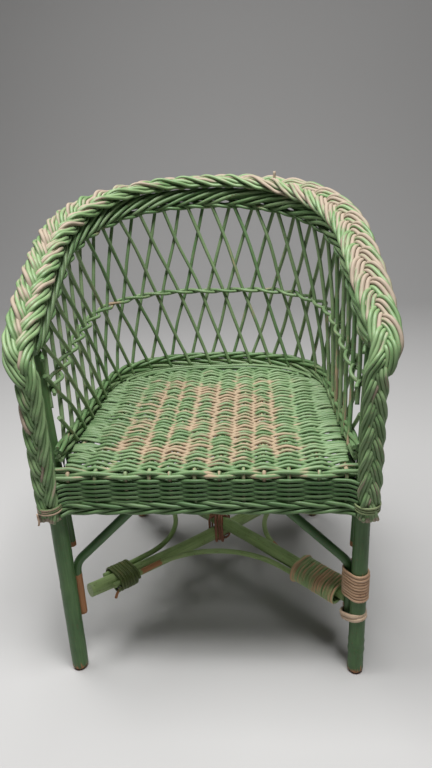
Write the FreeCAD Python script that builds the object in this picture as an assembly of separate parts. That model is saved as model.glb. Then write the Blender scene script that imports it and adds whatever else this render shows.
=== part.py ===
import FreeCAD, Part
import math
import os

# A child's wicker armchair: a stick frame on four legs with crossed stretchers, a woven seat and
# apron, and a lattice wall that flares up to a plaited rim. All sizes are millimetres.
# X runs to the right as seen from the open front, Y from the front legs back, Z up.

Vector = FreeCAD.Vector
UP = Vector(0, 0, 1)
SIDES = {"left": -1, "right": 1}

# Gap left where two pieces of the frame or the weave meet
FIT = 0.3

# Seat
SEAT_HEIGHT = 265.0
SEAT_DEPTH = 303.0
SEAT_HALF_WIDTH_FRONT = 151.0
SEAT_TAPER = 5.0
SEAT_CURVE_DEPTH = 127.0
SEAT_SQUARENESS = 2.6
SEAT_WEAVE = 12.0
SEAT_LEG_GAP = 2.25
STAKE_COUNT = 10
STAKE_PITCH = 24.5
EDGE_STAKE_INSIDE = 5.0
STAKE_D = 4.8
STAKE_BEND = 6.0

# Apron under the front edge of the seat
APRON_DROP = 41.0
APRON_WEAVE = 10.0
APRON_LEG_GAP = 4.25
APRON_BORDER_D = 11.0
APRON_BACK = 1.2

# Legs and seat frame
LEG_D = 16.5
FOOT_ROUND = 2.5
LEG_OUTSIDE_SEAT = 6.5
LEG_SPLAY = 1.5
BACK_FOOT_INSIDE = 7.0
BACK_FOOT_BEHIND = 9.0
BACK_LEG_PAST_STRAIGHT = 73.2
RAIL_D = 13.0
HOOP_INSET = 5.0

# Stretchers, bows and arches
STRETCHER_D = 16.2
STRETCHER_HEIGHT = 88.0
STRETCHER_BEHIND_LEG = 12.0
LOST_END_GAP = 9.0
BOW_D = 6.4
BOW_APEX_FRONT = 56.0
BOW_APEX_SIDE = 60.0
BOW_END_SHORT = 26.0
LOST_END_BOW_SHORT = 18.0
ARCH_D = 10.0
ARCH_TAIL_BELOW_STRETCHER = 18.0
ARCH_KNEE_BELOW_SEAT = 127.0
ARCH_KNEE_BEND = 14.0
ARCH_TAIL_BACK = 1.4

# Wall and rim
BAND_D = 12.0
POST_D = 9.0
POST_BEHIND_HOOP_END = 6.2
POST_FOOT_BELOW_SEAT = 107.0
WALL_BEHIND_POST = 6.0
RIM_AHEAD_OF_POST = 7.0
RIM_BEHIND_SEAT = 16.0
RIM_FLARE_FRONT = 12.0
RIM_FLARE = 14.0
RIM_CURVE_DEPTH = 188.0
RIM_SQUARENESS = 2.05
RIM_RISE_BACK = 235.0
RIM_RISE_FRONT = 120.0
RIM_DROP_POWER = 2.2
RIM_LEAN = 12.0
RIM_HOOP_D = 12.0
BORDER_WALL = 3.2
ROD_D = 4.6
LATTICE_PITCH = 30.0
LATTICE_SHIFT = 2.5
LATTICE_SIDE_SHARE = 0.3
WALE_D = 4.4
MID_WALE_BACK = 0.39
MID_WALE_FRONT = 0.47
UPPER_WALE_BELOW_RIM = 13.5
WALE_POST_GAP = 3.0

# Plait over the rim and down the arm fronts
BRAID_HALF_WIDTH = 18.0
BRAID_FRONT_HALF_WIDTH = 10.5
BRAID_THICKNESS = 17.0
BRAID_FRONT_THICKNESS = 12.0
BRAID_EDGE_THICKNESS = 4.8
BRAID_CROWN_SHARE = 0.6
BRAID_OUTSIDE_LEG = 3.0
BRAID_FOOT_BELOW_SEAT = 51.0
BRAID_SHOULDER_BELOW_RIM = 20.0
BRAID_WIDENING_RISE = 60.0
BRAID_OUTWARD_TILT = 0.22

# Cane bindings and nails
CANE_D = 3.2
CANE_PITCH = 3.8
KNOT_D = 4.0
KNOT_PITCH = 4.6
WRAP_ABOVE_STRETCHER = 4.0
TIE_D = 2.4
TIE_PITCH = 2.9
TIE_ABOVE_FOOT = 6.0
CANE_LEAST_GAP = 0.4
LEG_WRAP_TURNS = 7
LEG_KNOT_TURNS = 2
TIE_TURNS = 3
CENTRE_TURNS = 4
BOW_WRAP_TURNS = {"front_left": 10, "front_right": 16, "back_left": 14, "back_right": 14}
BOW_WRAP_FROM_END = {"front_left": 22.0, "front_right": 8.0, "back_left": 8.0, "back_right": 8.0}
BOW_WRAP_SLACK = 1.5
NAIL_D = 2.0
NAIL_HEAD_D = 5.0
NAIL_HEAD = 1.0
NAIL_BITE = 10.0

# Sampling of the curved lines, and the least turn, run and volume error that count
OUTLINE_STEPS = 60
HOOP_POINTS = 56
ROD_POINTS = 7
ROD_SAMPLES = 56
NOSE_POINTS = 7
SHARE_STEP = 0.005
STRAIGHT_TURN = 0.003
LEAST_RUN = 0.01
VOLUME_ERROR = 0.01

SEAT_HALF_WIDTH = SEAT_HALF_WIDTH_FRONT - SEAT_TAPER
SEAT_CURVE_START = SEAT_DEPTH - SEAT_CURVE_DEPTH
SEAT_UNDERSIDE = SEAT_HEIGHT - SEAT_WEAVE
RAIL_HEIGHT = SEAT_UNDERSIDE - FIT - RAIL_D / 2
RAIL_Y = APRON_BACK + FIT + RAIL_D / 2
HOOP_FRONT = RAIL_Y + RAIL_D / 2 + FIT
LEG_TOP = SEAT_UNDERSIDE - FIT
FRONT_TOP_X = SEAT_HALF_WIDTH_FRONT + LEG_OUTSIDE_SEAT
FRONT_FOOT_X = FRONT_TOP_X + LEG_SPLAY
BACK_FOOT_X = SEAT_HALF_WIDTH - BACK_FOOT_INSIDE
BACK_FOOT_Y = SEAT_DEPTH + BACK_FOOT_BEHIND
SEAT_FRONT_HALF_WIDTH = FRONT_TOP_X - LEG_D / 2 - SEAT_LEG_GAP
APRON_HALF_WIDTH = FRONT_TOP_X - LEG_D / 2 - APRON_LEG_GAP
APRON_Y = APRON_BACK - APRON_WEAVE / 2
APRON_FRONT = APRON_BACK - APRON_WEAVE
APRON_FOOT = SEAT_HEIGHT - APRON_DROP
EDGE_STAKE_X = APRON_HALF_WIDTH - EDGE_STAKE_INSIDE
ARCH_TAIL_HEIGHT = STRETCHER_HEIGHT - ARCH_TAIL_BELOW_STRETCHER
ARCH_KNEE_HEIGHT = SEAT_HEIGHT - ARCH_KNEE_BELOW_SEAT
POST_Y = HOOP_FRONT + POST_BEHIND_HOOP_END
POST_FOOT_HEIGHT = SEAT_HEIGHT - POST_FOOT_BELOW_SEAT
WALL_FRONT = POST_Y + WALL_BEHIND_POST
WALL_FOOT = SEAT_HEIGHT + 2 * (BAND_D + FIT)
RIM_FRONT = POST_Y - RIM_AHEAD_OF_POST
RIM_DEPTH = SEAT_DEPTH + RIM_BEHIND_SEAT
RIM_CURVE_START = RIM_DEPTH - RIM_CURVE_DEPTH
RIM_HALF_WIDTH_FRONT = SEAT_HALF_WIDTH_FRONT + RIM_FLARE_FRONT
RIM_HALF_WIDTH = SEAT_HALF_WIDTH + RIM_FLARE
RIM_HEIGHT_FRONT = SEAT_HEIGHT + RIM_RISE_FRONT
BORDER_R = RIM_HOOP_D / 2 + FIT + BORDER_WALL
BRAID_LIFT = BORDER_R + FIT + BRAID_THICKNESS / 2
BRAID_FRONT_X = FRONT_TOP_X + BRAID_OUTSIDE_LEG
BRAID_FRONT_Y = -(LEG_D / 2 + FIT + BRAID_FRONT_THICKNESS / 2)
BRAID_FOOT_HEIGHT = SEAT_HEIGHT - BRAID_FOOT_BELOW_SEAT
BRAID_SHOULDER_HEIGHT = RIM_HEIGHT_FRONT - BRAID_SHOULDER_BELOW_RIM


class Outline:
    """A line through close points that gives the point at any share of its length."""

    def __init__(self, points):
        self.points = points
        self.marks = [0.0]
        for first, second in zip(points, points[1:]):
            self.marks.append(self.marks[-1] + (second - first).Length)
        self.length = self.marks[-1]

    def point(self, share):
        reach = share * self.length
        last = len(self.points) - 2
        index = 0
        while index < last and self.marks[index + 1] < reach:
            index += 1
        span = self.marks[index + 1] - self.marks[index]
        part = (reach - self.marks[index]) / span
        return self.points[index] + (self.points[index + 1] - self.points[index]) * part

    def run(self, count):
        return [self.point(i / (count - 1)) for i in range(count)]


def u_outline(half_front, half_side, front, start, back, squareness, height, lean=0.0):
    """U open to the front: straight sides, then a rounded back. height and lean follow the share."""
    left = []
    for i in range(OUTLINE_STEPS):
        part = i / OUTLINE_STEPS
        x = -half_front - (half_side - half_front) * part
        left.append(Vector(x, front + (start - front) * part, 0))
    for i in range(OUTLINE_STEPS + 1):
        angle = math.pi / 2 * i / OUTLINE_STEPS
        x = -half_side * max(math.cos(angle), 0.0) ** (2 / squareness)
        left.append(Vector(x, start + (back - start) * math.sin(angle) ** (2 / squareness), 0))
    flat = Outline(left + [Vector(-p.x, p.y, 0) for p in reversed(left[:-1])])
    raised = []
    for point, mark in zip(flat.points, flat.marks):
        share = mark / flat.length
        shift = Vector(-lean * math.sin(math.pi * share), 0, height(share))
        raised.append(point + shift)
    return Outline(raised)


def seat_outline(inset, front, height):
    return u_outline(SEAT_HALF_WIDTH_FRONT - inset, SEAT_HALF_WIDTH - inset, front, SEAT_CURVE_START,
                     SEAT_DEPTH - inset, SEAT_SQUARENESS, lambda share: height)


def rim_height(share):
    from_back = abs(2 * share - 1)
    drop = (RIM_RISE_BACK - RIM_RISE_FRONT) * from_back ** RIM_DROP_POWER
    return SEAT_HEIGHT + RIM_RISE_BACK - drop


wall_foot = seat_outline(0.0, WALL_FRONT, WALL_FOOT)
rim = u_outline(RIM_HALF_WIDTH_FRONT, RIM_HALF_WIDTH, RIM_FRONT, RIM_CURVE_START, RIM_DEPTH,
                RIM_SQUARENESS, rim_height, RIM_LEAN)


def wall(share, rise, outward=0.0):
    """Point of the flaring wall: share round the U, rise from seat band to rim hoop, offset outward."""
    foot = wall_foot.point(share)
    up = rim.point(share) - foot
    point = foot + up * rise
    if not outward:
        return point
    low = max(share - SHARE_STEP, 0.0)
    high = min(share + SHARE_STEP, 1.0)
    along = wall(high, rise) - wall(low, rise)
    normal = up.cross(along)
    normal.normalize()
    return point + normal * outward


def rounded_path(points, bend=None):
    """Wire of straight runs joined by tangent arcs at the inner points."""
    edges = []
    start = points[0]
    for before, corner, after in zip(points, points[1:], points[2:]):
        back = before - corner
        ahead = after - corner
        reach = min(back.Length, ahead.Length) / 2
        back.normalize()
        ahead.normalize()
        turn = math.pi - back.getAngle(ahead)
        if turn < STRAIGHT_TURN:
            continue
        if bend:
            reach = min(reach, bend * math.tan(turn / 2))
        radius = reach / math.tan(turn / 2)
        inward = back + ahead
        inward.normalize()
        first = corner + back * reach
        last = corner + ahead * reach
        middle = corner + inward * (math.hypot(reach, radius) - radius)
        if (first - start).Length > LEAST_RUN:
            edges.append(Part.LineSegment(start, first).toShape())
        else:
            first = start
        edges.append(Part.Arc(first, middle, last).toShape())
        start = last
    if (points[-1] - start).Length > LEAST_RUN:
        edges.append(Part.LineSegment(start, points[-1]).toShape())
    return Part.Wire(edges)


def tube(points, diameter, bend=None):
    path = rounded_path(points, bend)
    ring = Part.Circle(points[0], points[1] - points[0], diameter / 2).toShape()
    solid = path.makePipeShell([Part.Wire(ring)], True, False)
    expected = math.pi * diameter ** 2 / 4 * path.Length
    if abs(solid.Volume / expected - 1) > VOLUME_ERROR or not solid.isValid():
        print("tube volume", round(solid.Volume / expected, 4), "valid", solid.isValid())
    return solid


def pipe(points, diameter, bore):
    return tube(points, diameter).cut(tube(points, bore))


def toward(start, end):
    direction = end - start
    direction.normalize()
    return direction


def least_self_gap(path, diameter, turn_length):
    """Least clear distance between stretches of a winding that are half a turn or more apart."""
    spacing = diameter / 4
    points = path.discretize(Distance=spacing)
    skip = int(turn_length / 2 / spacing)
    gaps = []
    for i, point in enumerate(points):
        gaps += [point.distanceToPoint(other) for other in points[i + skip:]]
    return min(gaps) - diameter


def winding(name, start, along, across, half_across, half_up, bend, diameter, pitch, turns):
    """Cane wound in rounded turns about an axis: across and up are the directions square to it."""
    up = along.cross(across)
    up.normalize()
    corners = [(1, -1), (1, 1), (-1, 1), (-1, -1)]
    eighth = pitch / 8
    points = [start + across * half_across - along * eighth]
    for quarter in range(4 * turns):
        side, height = corners[(quarter + 1) % 4]
        point = start + across * (side * half_across) + up * (height * half_up)
        points.append(point + along * (eighth * (2 * quarter + 1)))
    points.append(start + across * half_across + along * (pitch * turns + eighth))
    path = rounded_path(points, bend)
    gap = least_self_gap(path, diameter, path.Length / turns)
    print(name, "turns", turns, "least gap to itself", round(gap, 2), "mm")
    if gap < CANE_LEAST_GAP:
        raise ValueError(name + " winds too close to itself")
    return tube(points, diameter, bend)


nodes = {}

# Seat frame: a bent hoop under the sides and back, and a rail between the front legs
hoop = seat_outline(HOOP_INSET, HOOP_FRONT, RAIL_HEIGHT)
nodes["seat_hoop"] = tube(hoop.run(HOOP_POINTS), RAIL_D)


def hoop_half_width(y):
    """Half width of the hoop on its straight sides."""
    part = (y - HOOP_FRONT) / (SEAT_CURVE_START - HOOP_FRONT)
    return SEAT_HALF_WIDTH_FRONT - HOOP_INSET - SEAT_TAPER * part


rail_half = min(FRONT_FOOT_X, FRONT_TOP_X) - LEG_D / 2 - FIT
rail_ends = [Vector(sign * rail_half, RAIL_Y, RAIL_HEIGHT) for sign in SIDES.values()]
nodes["front_rail"] = tube(rail_ends, RAIL_D)


class Leg:
    """Axis of a leg between its foot on the floor and its top under the seat."""

    def __init__(self, foot, top):
        self.foot = foot
        self.top = top

    def at(self, height):
        return self.foot + (self.top - self.foot) * (height / self.top.z)

    def solid(self):
        below = self.at(-LEG_D)
        above = self.at(LEG_TOP + LEG_D)
        stick = Part.makeCylinder(LEG_D / 2, (above - below).Length, below, above - below)
        lean = self.top - self.foot
        corner = Vector(min(self.foot.x, self.top.x) - 2 * LEG_D, min(self.foot.y, self.top.y) - 2 * LEG_D, 0)
        slab = Part.makeBox(abs(lean.x) + 4 * LEG_D, abs(lean.y) + 4 * LEG_D, LEG_TOP, corner)
        leg = stick.common(slab)
        foot_edges = [edge for edge in leg.Edges if edge.BoundBox.ZMax < LEAST_RUN]
        return leg.makeFillet(FOOT_ROUND, foot_edges)


def back_leg_place():
    """Where a back leg stands against the outside of the seat hoop, on the left."""
    share = (hoop.marks[OUTLINE_STEPS] + BACK_LEG_PAST_STRAIGHT) / hoop.length
    point = hoop.point(share)
    along = hoop.point(share + SHARE_STEP) - hoop.point(share - SHARE_STEP)
    outward = UP.cross(along)
    outward.normalize()
    return point + outward * (RAIL_D / 2 + LEG_D / 2 + 2 * FIT), outward


# Four legs; the back pair leans back and out from the corners of the hoop
back_top, back_outward = back_leg_place()
legs = {}
for side, sign in SIDES.items():
    front_top = Vector(sign * FRONT_TOP_X, 0, LEG_TOP)
    legs["front_" + side] = Leg(Vector(sign * FRONT_FOOT_X, 0, 0), front_top)
    foot = Vector(sign * BACK_FOOT_X, BACK_FOOT_Y, 0)
    at_hoop = Vector(-sign * back_top.x, back_top.y, RAIL_HEIGHT)
    legs["back_" + side] = Leg(foot, foot + (at_hoop - foot) * (LEG_TOP / RAIL_HEIGHT))
for corner, leg in legs.items():
    end, side = corner.split("_")
    nodes[end + "_leg_" + side] = leg.solid()


def behind(corner, distance):
    """Step from a leg toward the middle of the chair, front to back."""
    return Vector(0, distance if corner.startswith("front") else -distance, 0)


def tail_place(corner, height):
    """Axis of an arch tail, beside the inner face of its leg."""
    sign = -1 if corner.endswith("left") else 1
    inward = Vector(-sign, 0, 0) + behind(corner, ARCH_TAIL_BACK)
    inward.normalize()
    return legs[corner].at(height) + inward * (LEG_D / 2 + FIT + ARCH_D / 2), inward


# Crossed stretchers, bent a little so that one passes over the other
aims = {}
for corner, leg in legs.items():
    aims[corner] = leg.at(STRETCHER_HEIGHT) + behind(corner, STRETCHER_BEHIND_LEG)
span = aims["back_left"] - aims["front_right"]
crossing = aims["front_right"] + span * (aims["front_right"].x / -span.x)
arms = {corner: toward(crossing, aim) for corner, aim in aims.items()}


def arm_end(corner):
    """End of a stretcher arm, where the edge of its flat end comes up to the arch tail."""
    arm = arms[corner]
    room = ARCH_D / 2 + FIT
    reaches = []
    for height in (STRETCHER_HEIGHT - STRETCHER_D / 2, STRETCHER_HEIGHT + STRETCHER_D / 2):
        tail = tail_place(corner, height)[0] - aims[corner]
        beside = abs(tail.dot(arm.cross(UP)))
        past_edge = min(max(beside - STRETCHER_D / 2, 0.0), room)
        reaches.append(tail.dot(arm) - math.sqrt(room ** 2 - past_edge ** 2))
    return aims[corner] + arm * min(reaches)


# The arc at the crossing rounds half of each run, and so keeps three quarters of its corner's lift
lift = UP * ((STRETCHER_D + FIT) / 2 * 4 / 3)
arm_ends = {corner: arm_end(corner) for corner in aims}
arm_ends["front_left"] -= arms["front_left"] * LOST_END_GAP
right_run = [arm_ends["front_right"], crossing + lift, arm_ends["back_left"]]
left_run = [arm_ends["front_left"], crossing - lift, arm_ends["back_right"]]
nodes["stretcher_right"] = tube(right_run, STRETCHER_D)
nodes["stretcher_left"] = tube(left_run, STRETCHER_D)


def bow(first, second, apex):
    """Thin rod that leaves one stretcher arm, rounds the crossing and joins the next arm."""
    middle = arms[first] + arms[second]
    middle.normalize()
    half_angle = middle.getAngle(arms[first])
    beside = STRETCHER_D / 2 + FIT + BOW_D / 2
    corner_reach = beside / math.sin(half_angle)
    tangent = (apex - corner_reach) / (1 / math.cos(half_angle) - math.tan(half_angle))
    ends = []
    for corner in (first, second):
        off = middle - arms[corner] * math.cos(half_angle)
        off.normalize()
        reach = (aims[corner] - crossing).Length - BOW_END_SHORT
        if corner == "front_left":
            reach -= LOST_END_BOW_SHORT
        ends.append(crossing + arms[corner] * reach + off * beside)
    bend = tangent * math.tan(half_angle)
    return tube([ends[0], crossing + middle * corner_reach, ends[1]], BOW_D, bend)


nodes["bow_front"] = bow("front_left", "front_right", BOW_APEX_FRONT)
nodes["bow_back"] = bow("back_right", "back_left", BOW_APEX_FRONT)
nodes["bow_left"] = bow("back_left", "front_left", BOW_APEX_SIDE)
nodes["bow_right"] = bow("front_right", "back_right", BOW_APEX_SIDE)


def arch(end, top_y):
    """Bent rod: up beside one leg, across under the seat frame and down beside the other leg."""
    top_z = RAIL_HEIGHT - RAIL_D / 2 - FIT - ARCH_D / 2
    halves = []
    for side, sign in SIDES.items():
        foot = tail_place(end + "_" + side, ARCH_TAIL_HEIGHT)[0]
        knee = tail_place(end + "_" + side, ARCH_KNEE_HEIGHT)[0]
        shoulder = Vector(knee.x - sign * (top_z - ARCH_KNEE_HEIGHT), top_y, top_z)
        halves.append([foot, knee, shoulder])
    left, right = halves
    return tube(left + list(reversed(right)), ARCH_D, ARCH_KNEE_BEND)


nodes["front_arch"] = arch("front", tail_place("front_left", ARCH_KNEE_HEIGHT)[0].y)
nodes["back_arch"] = arch("back", hoop.point(0.5).y - RAIL_D / 2)

# Cane bindings of the underframe
clear = FIT + CANE_D / 2
half_up = STRETCHER_D / 2 + clear
half_across = STRETCHER_D / 2 + FIT + BOW_D + BOW_WRAP_SLACK + clear
for corner, turns in BOW_WRAP_TURNS.items():
    rise = lift if corner in ("front_right", "back_left") else lift * -1
    along = toward(arm_ends[corner], crossing + rise)
    across = along.cross(UP)
    across.normalize()
    start = arm_ends[corner] + along * BOW_WRAP_FROM_END[corner]
    name = "bow_wrap_" + corner
    nodes[name] = winding(name, start, along, across, half_across, half_up, half_up,
                          CANE_D, CANE_PITCH, turns)


def leg_binding(name, corner, foot_height, diameter, pitch, turns):
    """Cane round a leg and the arch tail beside it."""
    axis = legs[corner]
    along = toward(axis.foot, axis.top)
    inward = tail_place(corner, foot_height)[1]
    across = inward - along * inward.dot(along)
    across.normalize()
    room = FIT + diameter / 2
    start = axis.at(foot_height) + across * ((FIT + ARCH_D) / 2)
    half_length = (LEG_D + FIT + ARCH_D) / 2 + room
    half = LEG_D / 2 + room
    return winding(name, start, along, across, half_length, half, half, diameter, pitch, turns)


wrap_foot = STRETCHER_HEIGHT + STRETCHER_D / 2 + WRAP_ABOVE_STRETCHER + CANE_D
knot_foot = STRETCHER_HEIGHT - STRETCHER_D / 2 - FIT - KNOT_PITCH * LEG_KNOT_TURNS - KNOT_D / 2
for corner in ("front_right", "back_left", "back_right"):
    name = "leg_wrap_" + corner
    nodes[name] = leg_binding(name, corner, wrap_foot, CANE_D, CANE_PITCH, LEG_WRAP_TURNS)
    name = "leg_knot_" + corner
    nodes[name] = leg_binding(name, corner, knot_foot, KNOT_D, KNOT_PITCH, LEG_KNOT_TURNS)

centre_reach = CANE_PITCH * CENTRE_TURNS / 2
centre_start = crossing - Vector(0, centre_reach, 0)
nodes["stretcher_lashing"] = winding("stretcher_lashing", centre_start, Vector(0, 1, 0), Vector(1, 0, 0),
                                     STRETCHER_D + clear + centre_reach, STRETCHER_D + FIT + clear,
                                     STRETCHER_D / 2, CANE_D, CANE_PITCH, CENTRE_TURNS)


def stake_line(x):
    """Stake from the back of the seat to its front edge, where it turns down through the apron."""
    share = max(1 - (abs(x) / SEAT_HALF_WIDTH) ** SEAT_SQUARENESS, 0.0) ** (1 / SEAT_SQUARENESS)
    back = SEAT_CURVE_START + SEAT_CURVE_DEPTH * share
    level = SEAT_HEIGHT - SEAT_WEAVE / 2
    foot = SEAT_UNDERSIDE - FIT - APRON_DROP / 2
    return [Vector(x, back - STAKE_D, level), Vector(x, APRON_Y, level), Vector(x, APRON_Y, foot)]


# Seat weave and apron, bored for the stakes that run through both
stake_places = [STAKE_PITCH * (i - (STAKE_COUNT - 1) / 2) for i in range(STAKE_COUNT)]
stake_places += [sign * EDGE_STAKE_X for sign in SIDES.values()]
stake_lines = [stake_line(x) for x in stake_places]
stakes = [tube(line, STAKE_D, STAKE_BEND) for line in stake_lines]
bores = Part.makeCompound([tube(line, STAKE_D + 2 * FIT, STAKE_BEND) for line in stake_lines])
nodes["seat_stakes"] = Part.makeCompound(stakes)

seat_edge = seat_outline(0.0, WALL_FRONT, SEAT_UNDERSIDE).run(HOOP_POINTS)
front_places = [(1, WALL_FRONT), (1, APRON_FRONT), (-1, APRON_FRONT), (-1, WALL_FRONT)]
front_corners = [Vector(sign * SEAT_FRONT_HALF_WIDTH, y, SEAT_UNDERSIDE) for sign, y in front_places]
front_edge = Part.makePolygon([seat_edge[-1]] + front_corners + [seat_edge[0]])
seat_face = Part.Face(Part.Wire(rounded_path(seat_edge).Edges + front_edge.Edges))
nodes["seat_weave"] = seat_face.extrude(UP * SEAT_WEAVE).cut(bores)

apron = Part.makeBox(2 * APRON_HALF_WIDTH, APRON_WEAVE, SEAT_UNDERSIDE - FIT - APRON_FOOT,
                     Vector(-APRON_HALF_WIDTH, APRON_FRONT, APRON_FOOT))
nodes["front_apron"] = apron.cut(bores)
border_z = APRON_FOOT - FIT - APRON_BORDER_D / 2
border_ends = [Vector(sign * APRON_HALF_WIDTH, APRON_Y, border_z) for sign in SIDES.values()]
nodes["apron_border"] = tube(border_ends, APRON_BORDER_D)

# Two twisted rows lie on the seat edge at the foot of the wall
for row, name in enumerate(("seat_band_lower", "seat_band_upper")):
    height = SEAT_HEIGHT + FIT + BAND_D / 2 + row * (BAND_D + FIT)
    nodes[name] = tube(seat_outline(0.0, WALL_FRONT, height).run(HOOP_POINTS), BAND_D)

# Posts stand against the outside of the seat hoop and come up under the ends of the rim hoop
for side, sign in SIDES.items():
    near = POST_D / rim.length
    under = rim.point(near if sign < 0 else 1 - near)
    along = toward(rim.point(0.0 if sign < 0 else 1.0), under)
    down = along * UP.dot(along) - UP
    down.normalize()
    top = under + down * (BORDER_R + FIT + POST_D / 4)
    hoop_side = hoop_half_width(POST_Y) + RAIL_D / 2 + FIT + POST_D / 2
    at_hoop = Vector(sign * hoop_side, POST_Y, RAIL_HEIGHT)
    foot = at_hoop + (top - at_hoop) * ((POST_FOOT_HEIGHT - RAIL_HEIGHT) / (top.z - RAIL_HEIGHT))
    nodes["arm_post_" + side] = tube([foot, top], POST_D)

rim_line = rim.run(HOOP_POINTS)
nodes["rim_hoop"] = tube(rim_line, RIM_HOOP_D)
nodes["border_roll"] = pipe(rim_line, 2 * BORDER_R, RIM_HOOP_D + 2 * FIT)

lattice_count = round(wall_foot.length / LATTICE_PITCH)


def lattice_rod(base, lean, outward):
    """One rod from the seat band to the border, cut short where it meets an arm post."""
    edge = (POST_D + ROD_D) / wall_foot.length
    top_room = BORDER_R + ROD_D / 2 + FIT
    foot_room = FIT + ROD_D / 4
    line = []
    for i in range(ROD_SAMPLES + 1):
        rise = i / ROD_SAMPLES
        share = (base + lean * LATTICE_SHIFT * rise) / lattice_count
        if not edge <= share <= 1 - edge:
            continue
        point = wall(share, rise, outward)
        to_rim = min(point.distanceToPoint(other) for other in rim.points)
        if point.z - WALL_FOOT >= foot_room and to_rim >= top_room:
            line.append(point)
    return line


def lattice(lean, outward):
    """Rods of one layer, grouped by the part of the wall that they stand in."""
    groups = {"left": [], "back": [], "right": []}
    overrun = math.ceil(LATTICE_SHIFT)
    for base in range(-overrun, lattice_count + overrun + 1):
        line = lattice_rod(base, lean, outward)
        if len(line) < ROD_SAMPLES / 4:
            continue
        middle = (base + lean * LATTICE_SHIFT / 2) / lattice_count
        part = "back"
        if middle < LATTICE_SIDE_SHARE:
            part = "left"
        elif middle > 1 - LATTICE_SIDE_SHARE:
            part = "right"
        groups[part].append(tube(Outline(line).run(ROD_POINTS), ROD_D))
    return groups


layer = (ROD_D + FIT) / 2
for name, lean, outward in (("lattice_inner_", -1, -layer), ("lattice_outer_", 1, layer)):
    for part, rods in lattice(lean, outward).items():
        nodes[name + part] = Part.makeCompound(rods)


def wale(rise):
    """Two strands, one on each face of the lattice; rise gives their height at each share."""
    out = layer + ROD_D / 2 + 2 * FIT + WALE_D / 2
    edge = (POST_D + WALE_D + WALE_POST_GAP) / wall_foot.length
    shares = [edge + (1 - 2 * edge) * i / (HOOP_POINTS - 1) for i in range(HOOP_POINTS)]
    strands = []
    for outward in (-out, out):
        strands.append(tube([wall(share, rise(share), outward) for share in shares], WALE_D))
    return Part.makeCompound(strands)


def mid_rise(share):
    return MID_WALE_BACK + (MID_WALE_FRONT - MID_WALE_BACK) * abs(2 * share - 1)


def upper_rise(share):
    return 1 - UPPER_WALE_BELOW_RIM / rim.point(share).distanceToPoint(wall_foot.point(share))


nodes["mid_wale"] = wale(mid_rise)
nodes["upper_wale"] = wale(upper_rise)


def rim_plait(share):
    """Middle of the plait over the rim hoop, and the way its face looks."""
    up = toward(wall_foot.point(share), rim.point(share))
    outward = wall(share, 1.0, 1.0) - wall(share, 1.0)
    before = rim.point(max(share - 2 * SHARE_STEP, 0.0))
    along = toward(before, rim.point(min(share + 2 * SHARE_STEP, 1.0)))
    face = up + outward * BRAID_OUTWARD_TILT
    face -= along * face.dot(along)
    face.normalize()
    return rim.point(share) + face * BRAID_LIFT, face


def arm_front_plait(sign):
    """Plait from its foot at a front leg, up the arm front and over the nose to the rim."""
    forward = Vector(0, -1, 0)
    foot = Vector(sign * BRAID_FRONT_X, BRAID_FRONT_Y, BRAID_FOOT_HEIGHT)
    shoulder = Vector(foot.x, foot.y, BRAID_SHOULDER_HEIGHT)
    end = 0.0 if sign < 0 else 1.0
    nose, nose_face = rim_plait(end)
    along = toward(rim_plait(abs(end - 2 * SHARE_STEP))[0], nose)
    peak = nose + along * ((BRAID_FRONT_Y - nose.y) / along.y)
    shares = [i / NOSE_POINTS for i in range(NOSE_POINTS)]
    run = [(foot + (shoulder - foot) * share, forward) for share in shares]
    for turn in shares:
        point = shoulder * (1 - turn) ** 2 + peak * (2 * turn * (1 - turn)) + nose * turn ** 2
        run.append((point, forward * (1 - turn) + nose_face * turn))
    return run


def braid_section(point, along, face, half_width, thickness):
    """Flat eight sided section square to the line, thickest in the middle."""
    across = along.cross(face)
    across.normalize()
    normal = across.cross(along)
    edge = BRAID_EDGE_THICKNESS / 2
    half = thickness / 2
    crown = half_width * BRAID_CROWN_SHARE
    above = [(half_width, edge), (crown, half), (-crown, half), (-half_width, edge)]
    outline = above + [(a, -n) for a, n in reversed(above)]
    corners = [point + across * a + normal * n for a, n in outline]
    return Part.makePolygon(corners + [corners[0]])


def braid():
    over = [rim_plait(i / (HOOP_POINTS - 1)) for i in range(HOOP_POINTS)]
    line = arm_front_plait(-1) + over + list(reversed(arm_front_plait(1)))
    sections = []
    for i, (point, face) in enumerate(line):
        along = toward(line[max(i - 1, 0)][0], line[min(i + 1, len(line) - 1)][0])
        on_rim = min(max((point.z - BRAID_SHOULDER_HEIGHT) / BRAID_WIDENING_RISE, 0), 1)
        half_width = BRAID_FRONT_HALF_WIDTH + (BRAID_HALF_WIDTH - BRAID_FRONT_HALF_WIDTH) * on_rim
        thickness = BRAID_FRONT_THICKNESS + (BRAID_THICKNESS - BRAID_FRONT_THICKNESS) * on_rim
        sections.append(braid_section(point, along, face, half_width, thickness))
    return Part.makeLoft(sections, True, True)


nodes["rim_braid"] = braid()

# Thin cane ties hold the foot of the plait to the front legs
for side, sign in SIDES.items():
    inner = legs["front_" + side].at(BRAID_FOOT_HEIGHT).x - sign * LEG_D / 2
    outer = sign * (BRAID_FRONT_X + BRAID_FRONT_HALF_WIDTH)
    room = FIT + TIE_D / 2
    front = BRAID_FRONT_Y - BRAID_FRONT_THICKNESS / 2
    middle = Vector((inner + outer) / 2, (front + LEG_D / 2) / 2, BRAID_FOOT_HEIGHT + TIE_ABOVE_FOOT)
    name = "braid_tie_" + side
    nodes[name] = winding(name, middle, UP, Vector(1, 0, 0), abs(outer - inner) / 2 + room,
                          (LEG_D / 2 - front) / 2 + room, BRAID_FRONT_THICKNESS / 4,
                          TIE_D, TIE_PITCH, TIE_TURNS)


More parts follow.
